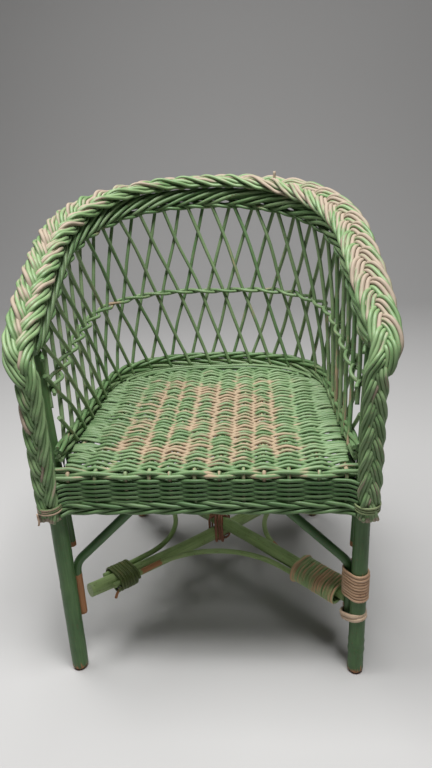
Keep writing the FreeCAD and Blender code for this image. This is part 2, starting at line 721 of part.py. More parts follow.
def nail(point, inward, through):
    """Nail with its head against the outside of a stick, and the bore it needs."""
    length = through + NAIL_BITE
    head_top = point - inward * NAIL_HEAD
    shank = Part.makeCylinder(NAIL_D / 2, length, point, inward)
    head = Part.makeCylinder(NAIL_HEAD_D / 2, NAIL_HEAD, head_top, inward)
    bore = Part.makeCylinder((NAIL_D + FIT) / 2, length + NAIL_HEAD + FIT, head_top, inward)
    return shank.fuse(head), bore


# Nails hold the front legs to the rail and the back legs to the hoop
nails = []
for side, sign in SIDES.items():
    axis = legs["front_" + side].at(RAIL_HEIGHT)
    inward = Vector(-sign, 0, 0)
    nail_y = (RAIL_Y - RAIL_D / 2 + LEG_D / 2) / 2
    head_reach = math.sqrt((LEG_D / 2) ** 2 - (nail_y - NAIL_HEAD_D / 2) ** 2) + FIT
    solid, bore = nail(Vector(axis.x, nail_y, RAIL_HEIGHT) - inward * head_reach, inward, LEG_D)
    nails.append(solid)
    for name in ("front_leg_" + side, "front_rail"):
        nodes[name] = nodes[name].cut(bore)
    axis = legs["back_" + side].at(RAIL_HEIGHT)
    inward = Vector(-sign * abs(back_outward.x), -back_outward.y, 0)
    solid, bore = nail(axis - inward * (LEG_D / 2 + FIT), inward, LEG_D)
    nails.append(solid)
    for name in ("back_leg_" + side, "seat_hoop"):
        nodes[name] = nodes[name].cut(bore)
nodes["frame_nails"] = Part.makeCompound(nails)

# The chair stands on Z 0, centred over the origin
box = Part.makeCompound(list(nodes.values())).optimalBoundingBox()
centre = Vector((box.XMin + box.XMax) / 2, (box.YMin + box.YMax) / 2, 0)
os.makedirs("parts", exist_ok=True)
for name, shape in nodes.items():
    moved = shape.copy()
    moved.translate(centre * -1)
    moved.exportStep("parts/" + name + ".step")
print(len(nodes), "nodes, lattice", lattice_count, "offset", [round(c, 3) for c in centre])
print("size", [round(s, 1) for s in (box.XLength, box.YLength, box.ZLength)])
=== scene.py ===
import bpy
import math
import numpy as np
from mathutils import Matrix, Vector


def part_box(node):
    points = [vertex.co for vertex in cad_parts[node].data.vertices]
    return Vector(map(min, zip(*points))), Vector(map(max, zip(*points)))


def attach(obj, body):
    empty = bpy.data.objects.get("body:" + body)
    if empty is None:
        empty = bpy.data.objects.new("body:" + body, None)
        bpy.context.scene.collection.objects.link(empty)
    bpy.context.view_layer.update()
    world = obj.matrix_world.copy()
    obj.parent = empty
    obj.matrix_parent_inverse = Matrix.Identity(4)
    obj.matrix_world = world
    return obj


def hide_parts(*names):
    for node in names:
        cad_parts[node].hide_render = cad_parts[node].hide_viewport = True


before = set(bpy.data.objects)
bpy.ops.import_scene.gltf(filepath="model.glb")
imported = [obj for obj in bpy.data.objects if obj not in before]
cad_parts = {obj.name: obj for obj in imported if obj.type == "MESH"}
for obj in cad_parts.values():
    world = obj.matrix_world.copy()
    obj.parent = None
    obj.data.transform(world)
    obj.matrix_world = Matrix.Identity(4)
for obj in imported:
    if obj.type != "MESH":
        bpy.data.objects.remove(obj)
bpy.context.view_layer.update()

# Seat hoop and front rail: the two round sticks that the whole chair is built on.
# The hoop is one stick steamed into a U for the sides and back, and the rail is nailed
# Both are peeled wood under the same thin green paint as the rest, which on the frame sticks is painted
# darker as painted shade.
SEAT_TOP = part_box("seat_weave")[1].z
SEAT_DEPTH = 0.303
SEAT_HALF_FRONT = 0.151
SEAT_HALF_SIDE = 0.146
SEAT_CURVE_START = 0.176
SEAT_SQUARENESS = 2.6
RAIL_RADIUS = 0.0065
RAIL_HEIGHT = 0.2462
RAIL_BEHIND = 0.008
RAIL_HALF = 0.1489
HOOP_INSET = 0.005
HOOP_FRONT = 0.0148
OUTLINE_STEPS = 60
STICK_SIDES = 20
ROD_SIDES = 8
STICK_STEP = 0.004
STICK_UNEVEN = 0.025
KNOT_RING = 0.09
KNOT_LENGTH = 0.002
END_TAPER = 0.3
GRAIN_SHIFT = 4.0
HIDDEN_WEAR = 0.35
SHOWN_WEAR = 0.75
STREAK_SCALE = (520, 520, 34)
FIBRE_SCALE = (1900, 1900, 45)
PATCH_SCALE = (46, 46, 46)
SPECK_SCALE = (520, 520, 520)
BARE_RANGE = (0.48, 0.80)
GRIME_RANGE = (0.60, 0.78)
GRAIN_DEPTH = 0.0006
SHEEN = 0.35
ANY_SLANT = (0.31, 0.52, 0.8)
SEED = 7
ORANGE_WOOD = (0.37, 0.17, 0.075)

left_leg_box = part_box("front_leg_left")
right_leg_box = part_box("front_leg_right")
CHAIR_MIDDLE = (left_leg_box[0].x + right_leg_box[1].x) / 2
FRONT_LEG_LINE = (left_leg_box[0].y + left_leg_box[1].y) / 2
UP = np.array((0.0, 0.0, 1.0))
chance = np.random.default_rng(SEED)


def unit(vectors):
    return vectors / np.linalg.norm(vectors, axis=-1, keepdims=True)


def square_to(along, way):
    """The way nearest to the given one that is square to a line."""
    return unit(way - along * np.sum(way * along, axis=-1, keepdims=True))


def heading(points):
    """The way a line runs at each of its points."""
    return unit(np.gradient(points, axis=0))


def close_to(distance, reach):
    """1 at no distance, falling smoothly to nothing at about twice the reach."""
    return np.exp(-(distance / reach) ** 2)


def uneven(row, reach, bumps):
    """Smooth random swing of up to about reach along a row, with the given number of bumps."""
    knots = chance.uniform(-reach, reach, bumps + 2)
    where = np.linspace(0, bumps + 1, len(row))
    low = np.floor(where).astype(int).clip(0, bumps)
    part = where - low
    ease = part * part * (3 - 2 * part)
    return knots[low] * (1 - ease) + knots[low + 1] * ease


class Line:
    """A line through close points that gives the point at any share of its length."""

    def __init__(self, points):
        self.points = np.asarray(points, float)
        steps = np.linalg.norm(np.diff(self.points, axis=0), axis=1)
        marks = np.concatenate([[0.0], np.cumsum(steps)])
        self.length = marks[-1]
        self.shares = marks / self.length

    def at(self, share):
        return np.stack([np.interp(share, self.shares, self.points[:, i]) for i in range(3)], -1)

    def spaced(self, step):
        return self.at(np.linspace(0, 1, max(int(self.length / step), 2) + 1))


def u_line(half_front, half_side, front, start, back, squareness, height, lean=0.0):
    """U open to the front: straight sides, then a rounded back."""
    part = np.linspace(0, 1, OUTLINE_STEPS, endpoint=False)
    angle = np.linspace(0, math.pi / 2, OUTLINE_STEPS + 1)
    side_x = -half_front - (half_side - half_front) * part
    curve_x = -half_side * np.cos(angle).clip(0) ** (2 / squareness)
    curve_y = start + (back - start) * np.sin(angle) ** (2 / squareness)
    x = np.concatenate([side_x, curve_x])
    y = np.concatenate([front + (start - front) * part, curve_y])
    flat = np.column_stack([np.append(x, -x[-2::-1]), np.append(y, y[-2::-1]), np.zeros(2 * len(x) - 1)])
    share = Line(flat).shares
    flat[:, 0] -= lean * np.sin(math.pi * share)
    flat[:, 2] = height(share)
    return Line(flat)


def seat_line(inset, front, height):
    return u_line(SEAT_HALF_FRONT - inset, SEAT_HALF_SIDE - inset, front, SEAT_CURVE_START,
                  SEAT_DEPTH - inset, SEAT_SQUARENESS, lambda share: height + 0 * share)


def carried_normals(along):
    """Directions square to a line, carried along it without twist."""
    normals = np.empty_like(along)
    normals[0] = unit(np.cross(along[0], ANY_SLANT))
    for i in range(1, len(along)):
        normals[i] = square_to(along[i], normals[i - 1])
    return normals


class Rods:
    """Rods gathered into one mesh, each with its own grain, shade and wear."""

    def __init__(self, sides=ROD_SIDES):
        self.sides = sides
        self.points = []
        self.faces = []
        self.flat_faces = []
        self.straight = []
        self.tone = []
        self.wear = []
        self.count = 0

    def add(self, line, radius, wear=0.0, face=None, flat=1.0, worn_side=None):
        """One rod. face turns its section, flat thins it that way, worn_side is where it is rubbed."""
        line = np.asarray(line, float)
        count = len(line)
        along = heading(line)
        if face is None:
            normal = carried_normals(along)
        else:
            normal = square_to(along, np.broadcast_to(face, line.shape))
        side = np.cross(along, normal)
        turn = np.arange(self.sides) * 2 * math.pi / self.sides
        radius = np.broadcast_to(radius, count)[:, None]
        across = np.cos(turn)[None] * radius
        out = flat * np.sin(turn)[None] * radius
        offset = side[:, None] * across[..., None] + normal[:, None] * out[..., None]
        marks = np.concatenate([[0.0], np.cumsum(np.linalg.norm(np.diff(line, axis=0), axis=1))])
        tone = chance.random()
        run = np.broadcast_to(marks[:, None] + GRAIN_SHIFT * chance.random(), across.shape)
        rubbed = np.broadcast_to(np.broadcast_to(wear, count)[:, None], across.shape)
        if worn_side is not None:
            worn_side = np.broadcast_to(worn_side, line.shape)
            facing = np.sum(unit(offset) * worn_side[:, None], axis=-1)
            rubbed = rubbed * np.clip(HIDDEN_WEAR + SHOWN_WEAR * facing, 0, 1)
        first = self.count + np.arange(count - 1)[:, None] * self.sides + np.arange(self.sides)
        after = first - np.arange(self.sides) + (np.arange(self.sides) + 1) % self.sides
        quads = np.stack([first, first + self.sides, after + self.sides, after], -1).reshape(-1, 4)
        last = self.count + (count - 1) * self.sides
        self.faces += quads.tolist()
        self.faces.append(list(range(self.count, self.count + self.sides)))
        self.faces.append(list(range(last + self.sides - 1, last - 1, -1)))
        self.flat_faces += [len(self.faces) - 2, len(self.faces) - 1]
        self.points.append((line[:, None] + offset).reshape(-1, 3))
        self.straight.append(np.stack([across, out, run], -1).reshape(-1, 3))
        self.tone.append(np.full(count * self.sides, tone))
        self.wear.append(rubbed.reshape(-1))
        self.count += count * self.sides

    def make(self, name, material, slot, *nodes):
        """The finished piece, at its place in the frame, in place of the CAD nodes named."""
        mesh = bpy.data.meshes.new(name)
        points = np.concatenate(self.points) + (CHAIR_MIDDLE, FRONT_LEG_LINE, 0.0)
        mesh.from_pydata(points.tolist(), [], self.faces)
        smooth = np.ones(len(self.faces), bool)
        smooth[self.flat_faces] = False
        mesh.polygons.foreach_set("use_smooth", smooth)
        for label, kind, field, values in (
                ("straight", "FLOAT_VECTOR", "vector", self.straight),
                ("tone", "FLOAT", "value", self.tone), ("wear", "FLOAT", "value", self.wear)):
            data = np.concatenate(values).astype(np.float32).ravel()
            mesh.attributes.new(label, kind, "POINT").data.foreach_set(field, data)
        mesh.materials.append(material)
        piece = bpy.data.objects.new(name, mesh)
        bpy.context.scene.collection.objects.link(piece)
        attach(piece, "root")
        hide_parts(*nodes)
        return piece


def paint_wear_group():
    """Old thin paint on a rod: streaks along the grain, blotches, and bare wood where it is rubbed."""
    group = bpy.data.node_groups.new("old_paint_on_rod", "ShaderNodeTree")
    for label, kind in (("Paint", "NodeSocketColor"), ("Faded paint", "NodeSocketColor"),
                        ("Bare wood", "NodeSocketColor"), ("Grime", "NodeSocketColor"),
                        ("Wear", "NodeSocketFloat"), ("Fading", "NodeSocketFloat")):
        group.interface.new_socket(label, in_out="INPUT", socket_type=kind)
    for label, kind in (("Color", "NodeSocketColor"), ("Roughness", "NodeSocketFloat"),
                        ("Height", "NodeSocketFloat")):
        group.interface.new_socket(label, in_out="OUTPUT", socket_type=kind)
    nodes, links = group.nodes, group.links

    def add(kind, **settings):
        node = nodes.new(kind)
        for key, value in settings.items():
            setattr(node, key, value)
        return node

    def attribute(label, output):
        return add("ShaderNodeAttribute", attribute_name=label).outputs[output]

    def noise(vector, stretch, detail):
        scaled = add("ShaderNodeVectorMath", operation="MULTIPLY")
        links.new(vector, scaled.inputs[0])
        scaled.inputs[1].default_value = stretch
        texture = add("ShaderNodeTexNoise")
        texture.inputs["Scale"].default_value = 1.0
        texture.inputs["Detail"].default_value = detail
        links.new(scaled.outputs[0], texture.inputs["Vector"])
        return texture.outputs["Fac"]

    def math_node(operation, first, second):
        node = add("ShaderNodeMath", operation=operation)
        for socket, value in zip(node.inputs, (first, second)):
            if isinstance(value, (int, float)):
                socket.default_value = value
            else:
                links.new(value, socket)
        return node.outputs[0]

    def plus(first, second):
        return math_node("ADD", first, second)

    def times(first, second):
        return math_node("MULTIPLY", first, second)

    def ramp(value, low, high):
        node = add("ShaderNodeMapRange", interpolation_type="SMOOTHSTEP")
        links.new(value, node.inputs["Value"])
        node.inputs["From Min"].default_value = low
        node.inputs["From Max"].default_value = high
        return node.outputs["Result"]

    def mix(factor, first, second):
        node = add("ShaderNodeMix", data_type="RGBA")
        links.new(factor, node.inputs["Factor"])
        links.new(first, node.inputs["A"])
        links.new(second, node.inputs["B"])
        return node.outputs["Result"]

    given = add("NodeGroupInput").outputs
    result = add("NodeGroupOutput").inputs
    grain = attribute("straight", "Vector")
    place = add("ShaderNodeTexCoord").outputs["Object"]
    streaks = noise(grain, STREAK_SCALE, 3.0)
    fibres = noise(grain, FIBRE_SCALE, 2.0)
    patches = noise(place, PATCH_SCALE, 3.0)
    specks = noise(place, SPECK_SCALE, 2.0)
    rubbed = plus(attribute("wear", "Fac"), given["Wear"])
    spread = plus(times(plus(patches, -0.5), 1.1), times(plus(streaks, -0.5), 1.5))
    bare = ramp(plus(rubbed, spread), *BARE_RANGE)
    fading = plus(times(attribute("tone", "Fac"), 0.45), plus(given["Fading"], times(spread, 0.5)))
    painted = mix(ramp(fading, 0.0, 1.0), given["Paint"], given["Faded paint"])
    dusty = mix(ramp(plus(specks, times(spread, -0.25)), *GRIME_RANGE), painted, given["Grime"])
    whole = mix(bare, dusty, given["Bare wood"])
    shade = add("ShaderNodeMix", data_type="RGBA", blend_type="MULTIPLY")
    shade.inputs["Factor"].default_value = 0.55
    tint = add("ShaderNodeCombineColor")
    level = plus(times(fibres, 0.9), 0.55)
    for socket in tint.inputs:
        links.new(level, socket)
    links.new(whole, shade.inputs["A"])
    links.new(tint.outputs[0], shade.inputs["B"])
    links.new(shade.outputs["Result"], result["Color"])
    rough = plus(times(bare, 0.22), times(specks, 0.3))
    links.new(plus(rough, 0.3), result["Roughness"])
    relief = plus(times(fibres, 0.35), times(streaks, 0.5))
    links.new(plus(relief, times(bare, -0.3)), result["Height"])
    return group


old_paint = paint_wear_group()


def rod_finish(name, paint, faded, bare, grime, wear, fading, bump=0.4):
    """Material of a painted or bare rod, with its grain in relief."""
    material = bpy.data.materials.new(name)
    material.use_nodes = True
    nodes, links = material.node_tree.nodes, material.node_tree.links
    shader = nodes["Principled BSDF"]
    cover = nodes.new("ShaderNodeGroup")
    cover.node_tree = old_paint
    for label, colour in (("Paint", paint), ("Faded paint", faded), ("Bare wood", bare), ("Grime", grime)):
        cover.inputs[label].default_value = (*colour, 1.0)
    cover.inputs["Wear"].default_value = wear
    cover.inputs["Fading"].default_value = fading
    relief = nodes.new("ShaderNodeBump")
    relief.inputs["Strength"].default_value = bump
    relief.inputs["Distance"].default_value = GRAIN_DEPTH
    links.new(cover.outputs["Height"], relief.inputs["Height"])
    links.new(cover.outputs["Color"], shader.inputs["Base Color"])
    links.new(cover.outputs["Roughness"], shader.inputs["Roughness"])
    links.new(relief.outputs["Normal"], shader.inputs["Normal"])
    shader.inputs["Specular IOR Level"].default_value = SHEEN
    return material


# Frame paint: the chair's green painted darker, as painted shade on the legs, hoop, rail, arches and posts.
frame_paint_painted_shade = rod_finish("frame_paint_painted_shade", (0.035, 0.10, 0.03), (0.10, 0.185, 0.065), ORANGE_WOOD,
                         (0.11, 0.11, 0.045), wear=-0.12, fading=0.22, bump=0.35)


def stick(node, line, radius, bumps, wear=0.0, rounded_end=0.0, knots=(), paint=frame_paint_painted_shade, kind="stick"):
    """A peeled stick: its thickness swells and sinks a little, with rings at its knots."""
    points = Line(line).spaced(STICK_STEP)
    marks = np.linspace(0, Line(line).length, len(points))
    size = radius * (1 + uneven(points, STICK_UNEVEN, bumps))
    for place in knots:
        size += radius * KNOT_RING * close_to(marks - place, KNOT_LENGTH)
    if rounded_end:
        near = np.clip(1 - marks / rounded_end, 0, 1)
        size = size * (1 - END_TAPER * near ** 2)
    rods = Rods(STICK_SIDES)
    rods.add(points, size, wear)
    return rods.make(node + "_" + kind, paint, "frame_sticks", node)


hoop = seat_line(HOOP_INSET, HOOP_FRONT, RAIL_HEIGHT)
stick("seat_hoop", hoop.points, RAIL_RADIUS, 18)
stick("front_rail", [(sign * RAIL_HALF, RAIL_BEHIND, RAIL_HEIGHT) for sign in (-1, 1)], RAIL_RADIUS, 6)

# Legs: four round peeled sticks, the front pair upright, the back pair leaning out from the hoop.
# They are nailed to the rail and the hoop, and their feet are rounded by years on the floor.
LEG_RADIUS = 0.00825
LEG_TOP = 0.2527
FRONT_FOOT_X = 0.159
FRONT_TOP_X = 0.1575
BACK_FOOT_X = 0.139
BACK_FOOT_Y = 0.312
BACK_LEG_PAST_STRAIGHT = 0.0732
BACK_LEG_GAP = 0.0006
FOOT_ROUND = 0.004
LEG_KNOTS = {"front_left": [0.118], "front_right": [0.032, 0.043],
             "back_left": [0.07], "back_right": [0.15]}
LEG_SWELL = {"front_left": 1.10, "front_right": 1.04, "back_left": 1.0, "back_right": 1.0}
LEG_WEAR = 0.06
RUBBED_FOOT = 0.016
FOOT_WEAR = 1.15
# Height of each worn spot, and how worn it is.
WORN_SPOTS = {"front_left": [(0.086, 0.30)], "front_right": [(0.137, 0.52)],
              "back_left": [], "back_right": []}
WORN_SPOT_REACH = 0.008
SHARE_STEP = 0.005
SIDES = (("left", -1), ("right", 1))

back_leg_share = hoop.shares[OUTLINE_STEPS] + BACK_LEG_PAST_STRAIGHT / hoop.length
hoop_run = hoop.at(back_leg_share + SHARE_STEP) - hoop.at(back_leg_share - SHARE_STEP)
hoop_outward = unit(np.cross(UP, hoop_run))
back_leg_at_hoop = hoop.at(back_leg_share) + hoop_outward * (RAIL_RADIUS + LEG_RADIUS + BACK_LEG_GAP)
legs = {}
for side, sign in SIDES:
    legs["front_" + side] = (np.array((sign * FRONT_FOOT_X, 0, 0)),
                             np.array((sign * FRONT_TOP_X, 0, LEG_TOP)))
    foot = np.array((sign * BACK_FOOT_X, BACK_FOOT_Y, 0))
    at_hoop = np.array((-sign * back_leg_at_hoop[0], back_leg_at_hoop[1], RAIL_HEIGHT))
    legs["back_" + side] = (foot, foot + (at_hoop - foot) * (LEG_TOP / RAIL_HEIGHT))


def leg_at(corner, height):
    foot, top = legs[corner]
    return foot + (top - foot) * (height / LEG_TOP)


for corner, (foot, top) in legs.items():
    end, side = corner.split("_")
    height = Line([foot, top]).spaced(STICK_STEP)[:, 2]
    wear = LEG_WEAR + FOOT_WEAR * np.clip(1 - height / RUBBED_FOOT, 0, 1) + uneven(height, 0.08, 8)
    for place, depth in WORN_SPOTS[corner]:
        wear = wear + depth * close_to(height - place, WORN_SPOT_REACH)
    leg = stick(end + "_leg_" + side, [foot, top], LEG_RADIUS * LEG_SWELL[corner], 7, wear, FOOT_ROUND,
                LEG_KNOTS[corner])
    for vertex in leg.data.vertices:
        vertex.co.z = max(vertex.co.z, 0.0)

# Stretchers: two round sticks that cross under the seat from corner to corner.
# Each is bent a little so that one lies over the other, and the front left end has come loose.
STRETCHER_RADIUS = 0.0081
STRETCHER_HEIGHT = 0.088
STRETCHER_BEHIND = 0.012
LOST_END_GAP = 0.009
STICK_GAP = 0.0003
ARCH_RADIUS = 0.005
ARCH_TAIL_BACK = 1.4
STRETCHER_WEAR = 0.1
BENT_STEPS = 61


def behind(corner, distance):
    return np.array((0, distance if corner.startswith("front") else -distance, 0))


def tail_place(corner, height):
    """Axis of an arch tail beside the inner face of its leg, and the way from the leg to it."""
    sign = -1 if corner.endswith("left") else 1
    inward = unit(np.array((-sign, 0.0, 0.0)) + behind(corner, ARCH_TAIL_BACK))
    return leg_at(corner, height) + inward * (LEG_RADIUS + STICK_GAP + ARCH_RADIUS), inward


aims = {corner: leg_at(corner, STRETCHER_HEIGHT) + behind(corner, STRETCHER_BEHIND) for corner in legs}
span = aims["back_left"] - aims["front_right"]
crossing = aims["front_right"] + span * (aims["front_right"][0] / -span[0])
arms = {corner: unit(aim - crossing) for corner, aim in aims.items()}
lift = UP * ((STRETCHER_RADIUS * 2 + STICK_GAP) / 2)


def arm_end(corner):
    """End of a stretcher arm, where its flat end comes up to the leaning arch tail."""
    arm = arms[corner]
    room = ARCH_RADIUS + STICK_GAP
    reaches = []
    for height in (STRETCHER_HEIGHT - STRETCHER_RADIUS, STRETCHER_HEIGHT + STRETCHER_RADIUS):
        tail = tail_place(corner, height)[0] - aims[corner]
        past_edge = min(max(abs(np.dot(tail, np.cross(arm, UP))) - STRETCHER_RADIUS, 0.0), room)
        reaches.append(np.dot(tail, arm) - math.sqrt(room ** 2 - past_edge ** 2))
    return aims[corner] + arm * min(reaches)


def bend(first, corner, last, part):
    """Points at the given parts of a bend from first to last, drawn toward a corner."""
    return first * (1 - part) ** 2 + corner * (2 * part * (1 - part)) + last * part ** 2


# Stretcher paint: the frame's green painted lighter, as painted light on the stretchers and bows under the
# seat.
stretcher_paint_painted_light = rod_finish("stretcher_paint_painted_light", (0.16, 0.26, 0.08), (0.30, 0.40, 0.165), ORANGE_WOOD,
                             (0.17, 0.155, 0.065), wear=-0.1, fading=0.28, bump=0.35)
arm_ends = {corner: arm_end(corner) for corner in legs}
arm_ends["front_left"] = arm_ends["front_left"] - arms["front_left"] * LOST_END_GAP
for side, other, rise in (("right", "left", lift), ("left", "right", -lift)):
    front, back = arm_ends["front_" + side], arm_ends["back_" + other]
    through = 2 * (crossing + rise) - (front + back) / 2
    run = bend(front, through, back, np.linspace(0, 1, BENT_STEPS)[:, None])
    stick("stretcher_" + side, run, STRETCHER_RADIUS, 9, STRETCHER_WEAR, paint=stretcher_paint_painted_light)

# Bows: four thin rods, each bound to two stretcher arms and bent round the crossing between them.
# The green paint has gone from the bends, and the wood shows orange there.
BOW_RADIUS = 0.0032
BOW_APEX_FRONT = 0.056
BOW_APEX_SIDE = 0.060
BOW_END_SHORT = 0.026
LOST_END_BOW_SHORT = 0.018
BOW_BEND_STEPS = 25
BOW_WEAR = 0.14
BOW_BARE = 1.2
BARE_STRIPS = {"bow_front": (0.038, 0.066), "bow_right": (0.098, 0.106)}
BOWS = {"bow_front": ("front_left", "front_right", BOW_APEX_FRONT),
        "bow_back": ("back_right", "back_left", BOW_APEX_FRONT),
        "bow_left": ("back_left", "front_left", BOW_APEX_SIDE),
        "bow_right": ("front_right", "back_right", BOW_APEX_SIDE)}

for name, (first, second, apex) in BOWS.items():
    middle = unit(arms[first] + arms[second])
    half_angle = math.acos(np.dot(middle, arms[first]))
    beside = STRETCHER_RADIUS + STICK_GAP + BOW_RADIUS
    corner_reach = beside / math.sin(half_angle)
    tangent = (apex - corner_reach) / (1 / math.cos(half_angle) - math.tan(half_angle))
    radius = tangent * math.tan(half_angle)
    turn = math.pi / 2 - half_angle
    hub = crossing + middle * (corner_reach + tangent / math.cos(half_angle))
    sideways = unit(arms[first] - middle * math.cos(half_angle))
    swing = np.linspace(turn, -turn, BOW_BEND_STEPS)[:, None]
    curve = hub + (sideways * np.sin(swing) - middle * np.cos(swing)) * radius
    ends = []
    for corner in (first, second):
        off = unit(middle - arms[corner] * math.cos(half_angle))
        reach = np.linalg.norm(aims[corner] - crossing) - BOW_END_SHORT
        reach -= LOST_END_BOW_SHORT if corner == "front_left" else 0.0
        ends.append(crossing + arms[corner] * reach + off * beside)
    run = np.concatenate([[ends[0]], curve, [ends[1]]])
    spots = Line(run).spaced(STICK_STEP)
    wear = BOW_WEAR + uneven(spots, 0.16, 9)
    if name in BARE_STRIPS:
        marks = np.linspace(0, Line(run).length, len(spots))
        low, high = BARE_STRIPS[name]
        wear = np.where((marks > low) & (marks < high), BOW_BARE, wear)
    stick(name, run, BOW_RADIUS, 12, wear, paint=stretcher_paint_painted_light, kind="rod")

# Arches: a bent stick front and back, up beside one leg, across under the seat and down the other.
# Its tails were bound to the legs with cane. At the front left the cane is gone and bare wood shows.
ARCH_TAIL_HEIGHT = 0.070
ARCH_KNEE_HEIGHT = 0.138
ARCH_KNEE_REACH = 0.012
ARCH_TOP = RAIL_HEIGHT - RAIL_RADIUS - STICK_GAP - ARCH_RADIUS
ARCH_WEAR = 0.08
TAIL_BARE = 1.3
CORNER_STEPS = 9


def rounded(points, reach):
    """Line through points with each inner corner rounded."""
    points = [np.asarray(point, float) for point in points]
    line = [points[0]]
    part = np.linspace(0, 1, CORNER_STEPS)[:, None]
    for before, corner, after in zip(points, points[1:], points[2:]):
        first = corner + unit(before - corner) * reach
        last = corner + unit(after - corner) * reach
        line += list(bend(first, corner, last, part))
    return np.array(line + [points[-1]])


for end, top_y in (("front", None), ("back", hoop.at(0.5)[1] - RAIL_RADIUS)):
    halves = []
    for side, sign in SIDES:
        tail = tail_place(end + "_" + side, ARCH_TAIL_HEIGHT)[0]
        knee = tail_place(end + "_" + side, ARCH_KNEE_HEIGHT)[0]
        level = knee[1] if top_y is None else top_y
        top = np.array((knee[0] - sign * (ARCH_TOP - ARCH_KNEE_HEIGHT), level, ARCH_TOP))
        halves.append([tail, knee, top])
    run = rounded(halves[0] + halves[1][::-1], ARCH_KNEE_REACH)
    wear = 0.0
    if end == "front":
        spots = Line(run).spaced(STICK_STEP)
        unbound = (spots[:, 0] < 0) & (spots[:, 2] < ARCH_KNEE_HEIGHT - ARCH_KNEE_REACH)
        wear = np.where(unbound, TAIL_BARE, ARCH_WEAR)
    stick(end + "_arch", run, ARCH_RADIUS, 16, wear)

# Cane bindings: split cane wound tight round the stretchers and bows, round the legs and arch tails,
# and crosswise over the crossing. Most of it was painted with the chair, and the leg wraps are bare.
CANE_HALF_WIDTH = 0.00185
CANE_FLAT = 0.72
CANE_PITCH = 0.0038
KNOT_HALF_WIDTH = 0.0025
KNOT_PITCH = 0.0046
CANE_CLEAR = 0.0015
BOW_WRAP_SLACK = 0.0015
WRAP_FOOT = 0.1033
KNOT_FOOT = 0.0728
LEG_WRAP_TURNS = 9
KNOT_TURNS = 2
CANE_OVER = 0.0017
CROTCH_REACH = 0.0095
LASHING_BEND = 0.0085
KNOT_TILT = 0.32
TURN_POINTS = 32
QUARTER_POINTS = 9
CANE_SIDES = 10
CANE_SLIP = 0.00025
CANE_SWELL = 0.0003
WRAP_WEAR = 0.34
WRAP_END_WEAR = 0.72
LAST_TURN_WEAR = 0.85
LEG_CANE_WEAR = 0.3
LASHING_WEAR = 0.25
# Points of the loose end: how far along the arm, and how far up.
LOOSE_CANE = ((0.004, 0.0), (-0.003, -0.003), (-0.006, -0.010))
LOOSE_CANE_INSIDE = 0.003
LOOSE_CANE_BELOW = 0.004
LOOSE_CANE_BEND = 0.003
LOOSE_CANE_STEP = 0.002
LOOSE_CANE_WEAR = 1.4
RIGHT = np.array((1.0, 0.0, 0.0))
BACK = np.array((0.0, 1.0, 0.0))
# Turns of each wrap, and how far it starts from the end of its arm.
BOW_WRAPS = {"front_left": (7, 0.030), "front_right": (16, 0.008), "back_left": (14, 0.008),
             "back_right": (14, 0.008)}

# Bow wrap paint: green cane with pale wear, painted lighter, as painted light, on the wraps in the shade of
# the seat.
wrap_paint_painted_light = rod_finish("wrap_paint_painted_light", (0.20, 0.31, 0.115), (0.35, 0.45, 0.225), (0.52, 0.33, 0.19),
                          (0.26, 0.22, 0.10), wear=0.12, fading=0.3)
olive_cane = rod_finish("olive_cane", (0.075, 0.105, 0.03), (0.14, 0.175, 0.055), ORANGE_WOOD,
                        (0.12, 0.08, 0.03), wear=-0.1, fading=0.25)
bare_cane = rod_finish("bare_cane", (0.42, 0.25, 0.145), (0.60, 0.41, 0.27), (0.60, 0.44, 0.32),
                       (0.26, 0.14, 0.09), wear=0.1, fading=0.35, bump=0.45)
knot_cane = rod_finish("knot_cane", (0.48, 0.36, 0.22), (0.58, 0.43, 0.32), (0.62, 0.46, 0.28),
                       (0.36, 0.24, 0.13), wear=0.1, fading=0.4)
red_cane = rod_finish("red_cane", (0.20, 0.075, 0.04), (0.32, 0.14, 0.08), (0.36, 0.18, 0.11),
                      (0.10, 0.05, 0.03), wear=0.1, fading=0.3)


def rounded_ring(half_across, half_up, corner):
    """Points round a rounded rectangle, evenly spaced, with the outward way at each."""
    quarter = np.linspace(0, math.pi / 2, QUARTER_POINTS)
    ring = []
    for side, top, start in ((1, 1, 0), (-1, 1, 1), (-1, -1, 2), (1, -1, 3)):
        angle = quarter + start * math.pi / 2
        x = side * (half_across - corner) + corner * np.cos(angle)
        y = top * (half_up - corner) + corner * np.sin(angle)
        ring += list(np.column_stack([x, y, 0 * angle]))
    ring = Line(ring + [ring[0]])
    around = ring.at(np.linspace(0, 1, TURN_POINTS, endpoint=False))
    tangent = unit(np.roll(around, -1, axis=0) - np.roll(around, 1, axis=0))
    outward = np.column_stack([tangent[:, 1], -tangent[:, 0], 0 * tangent[:, 0]])
    return around, outward


def wind(rods, start, along, across, half_across, half_up, corner, half_width, pitch, turns, wear):
    """One unbroken cane wound round and round an axis."""
    up = unit(np.cross(along, across))
    around, outward = rounded_ring(half_across, half_up, corner)
    steps = np.arange(TURN_POINTS * turns + 1)
    spot = around[steps % TURN_POINTS]
    way = outward[steps % TURN_POINTS]
    slip = uneven(steps, CANE_SLIP, 3 * turns)
    swell = uneven(steps, CANE_SWELL, 2 * turns)[:, None]
    line = start + across * spot[:, :1] + up * spot[:, 1:2]
    line = line + np.outer(pitch * steps / TURN_POINTS + slip, along)
    face = across * way[:, :1] + up * way[:, 1:2]
    rods.add(line + face * swell, half_width, wear, face, CANE_FLAT, face)


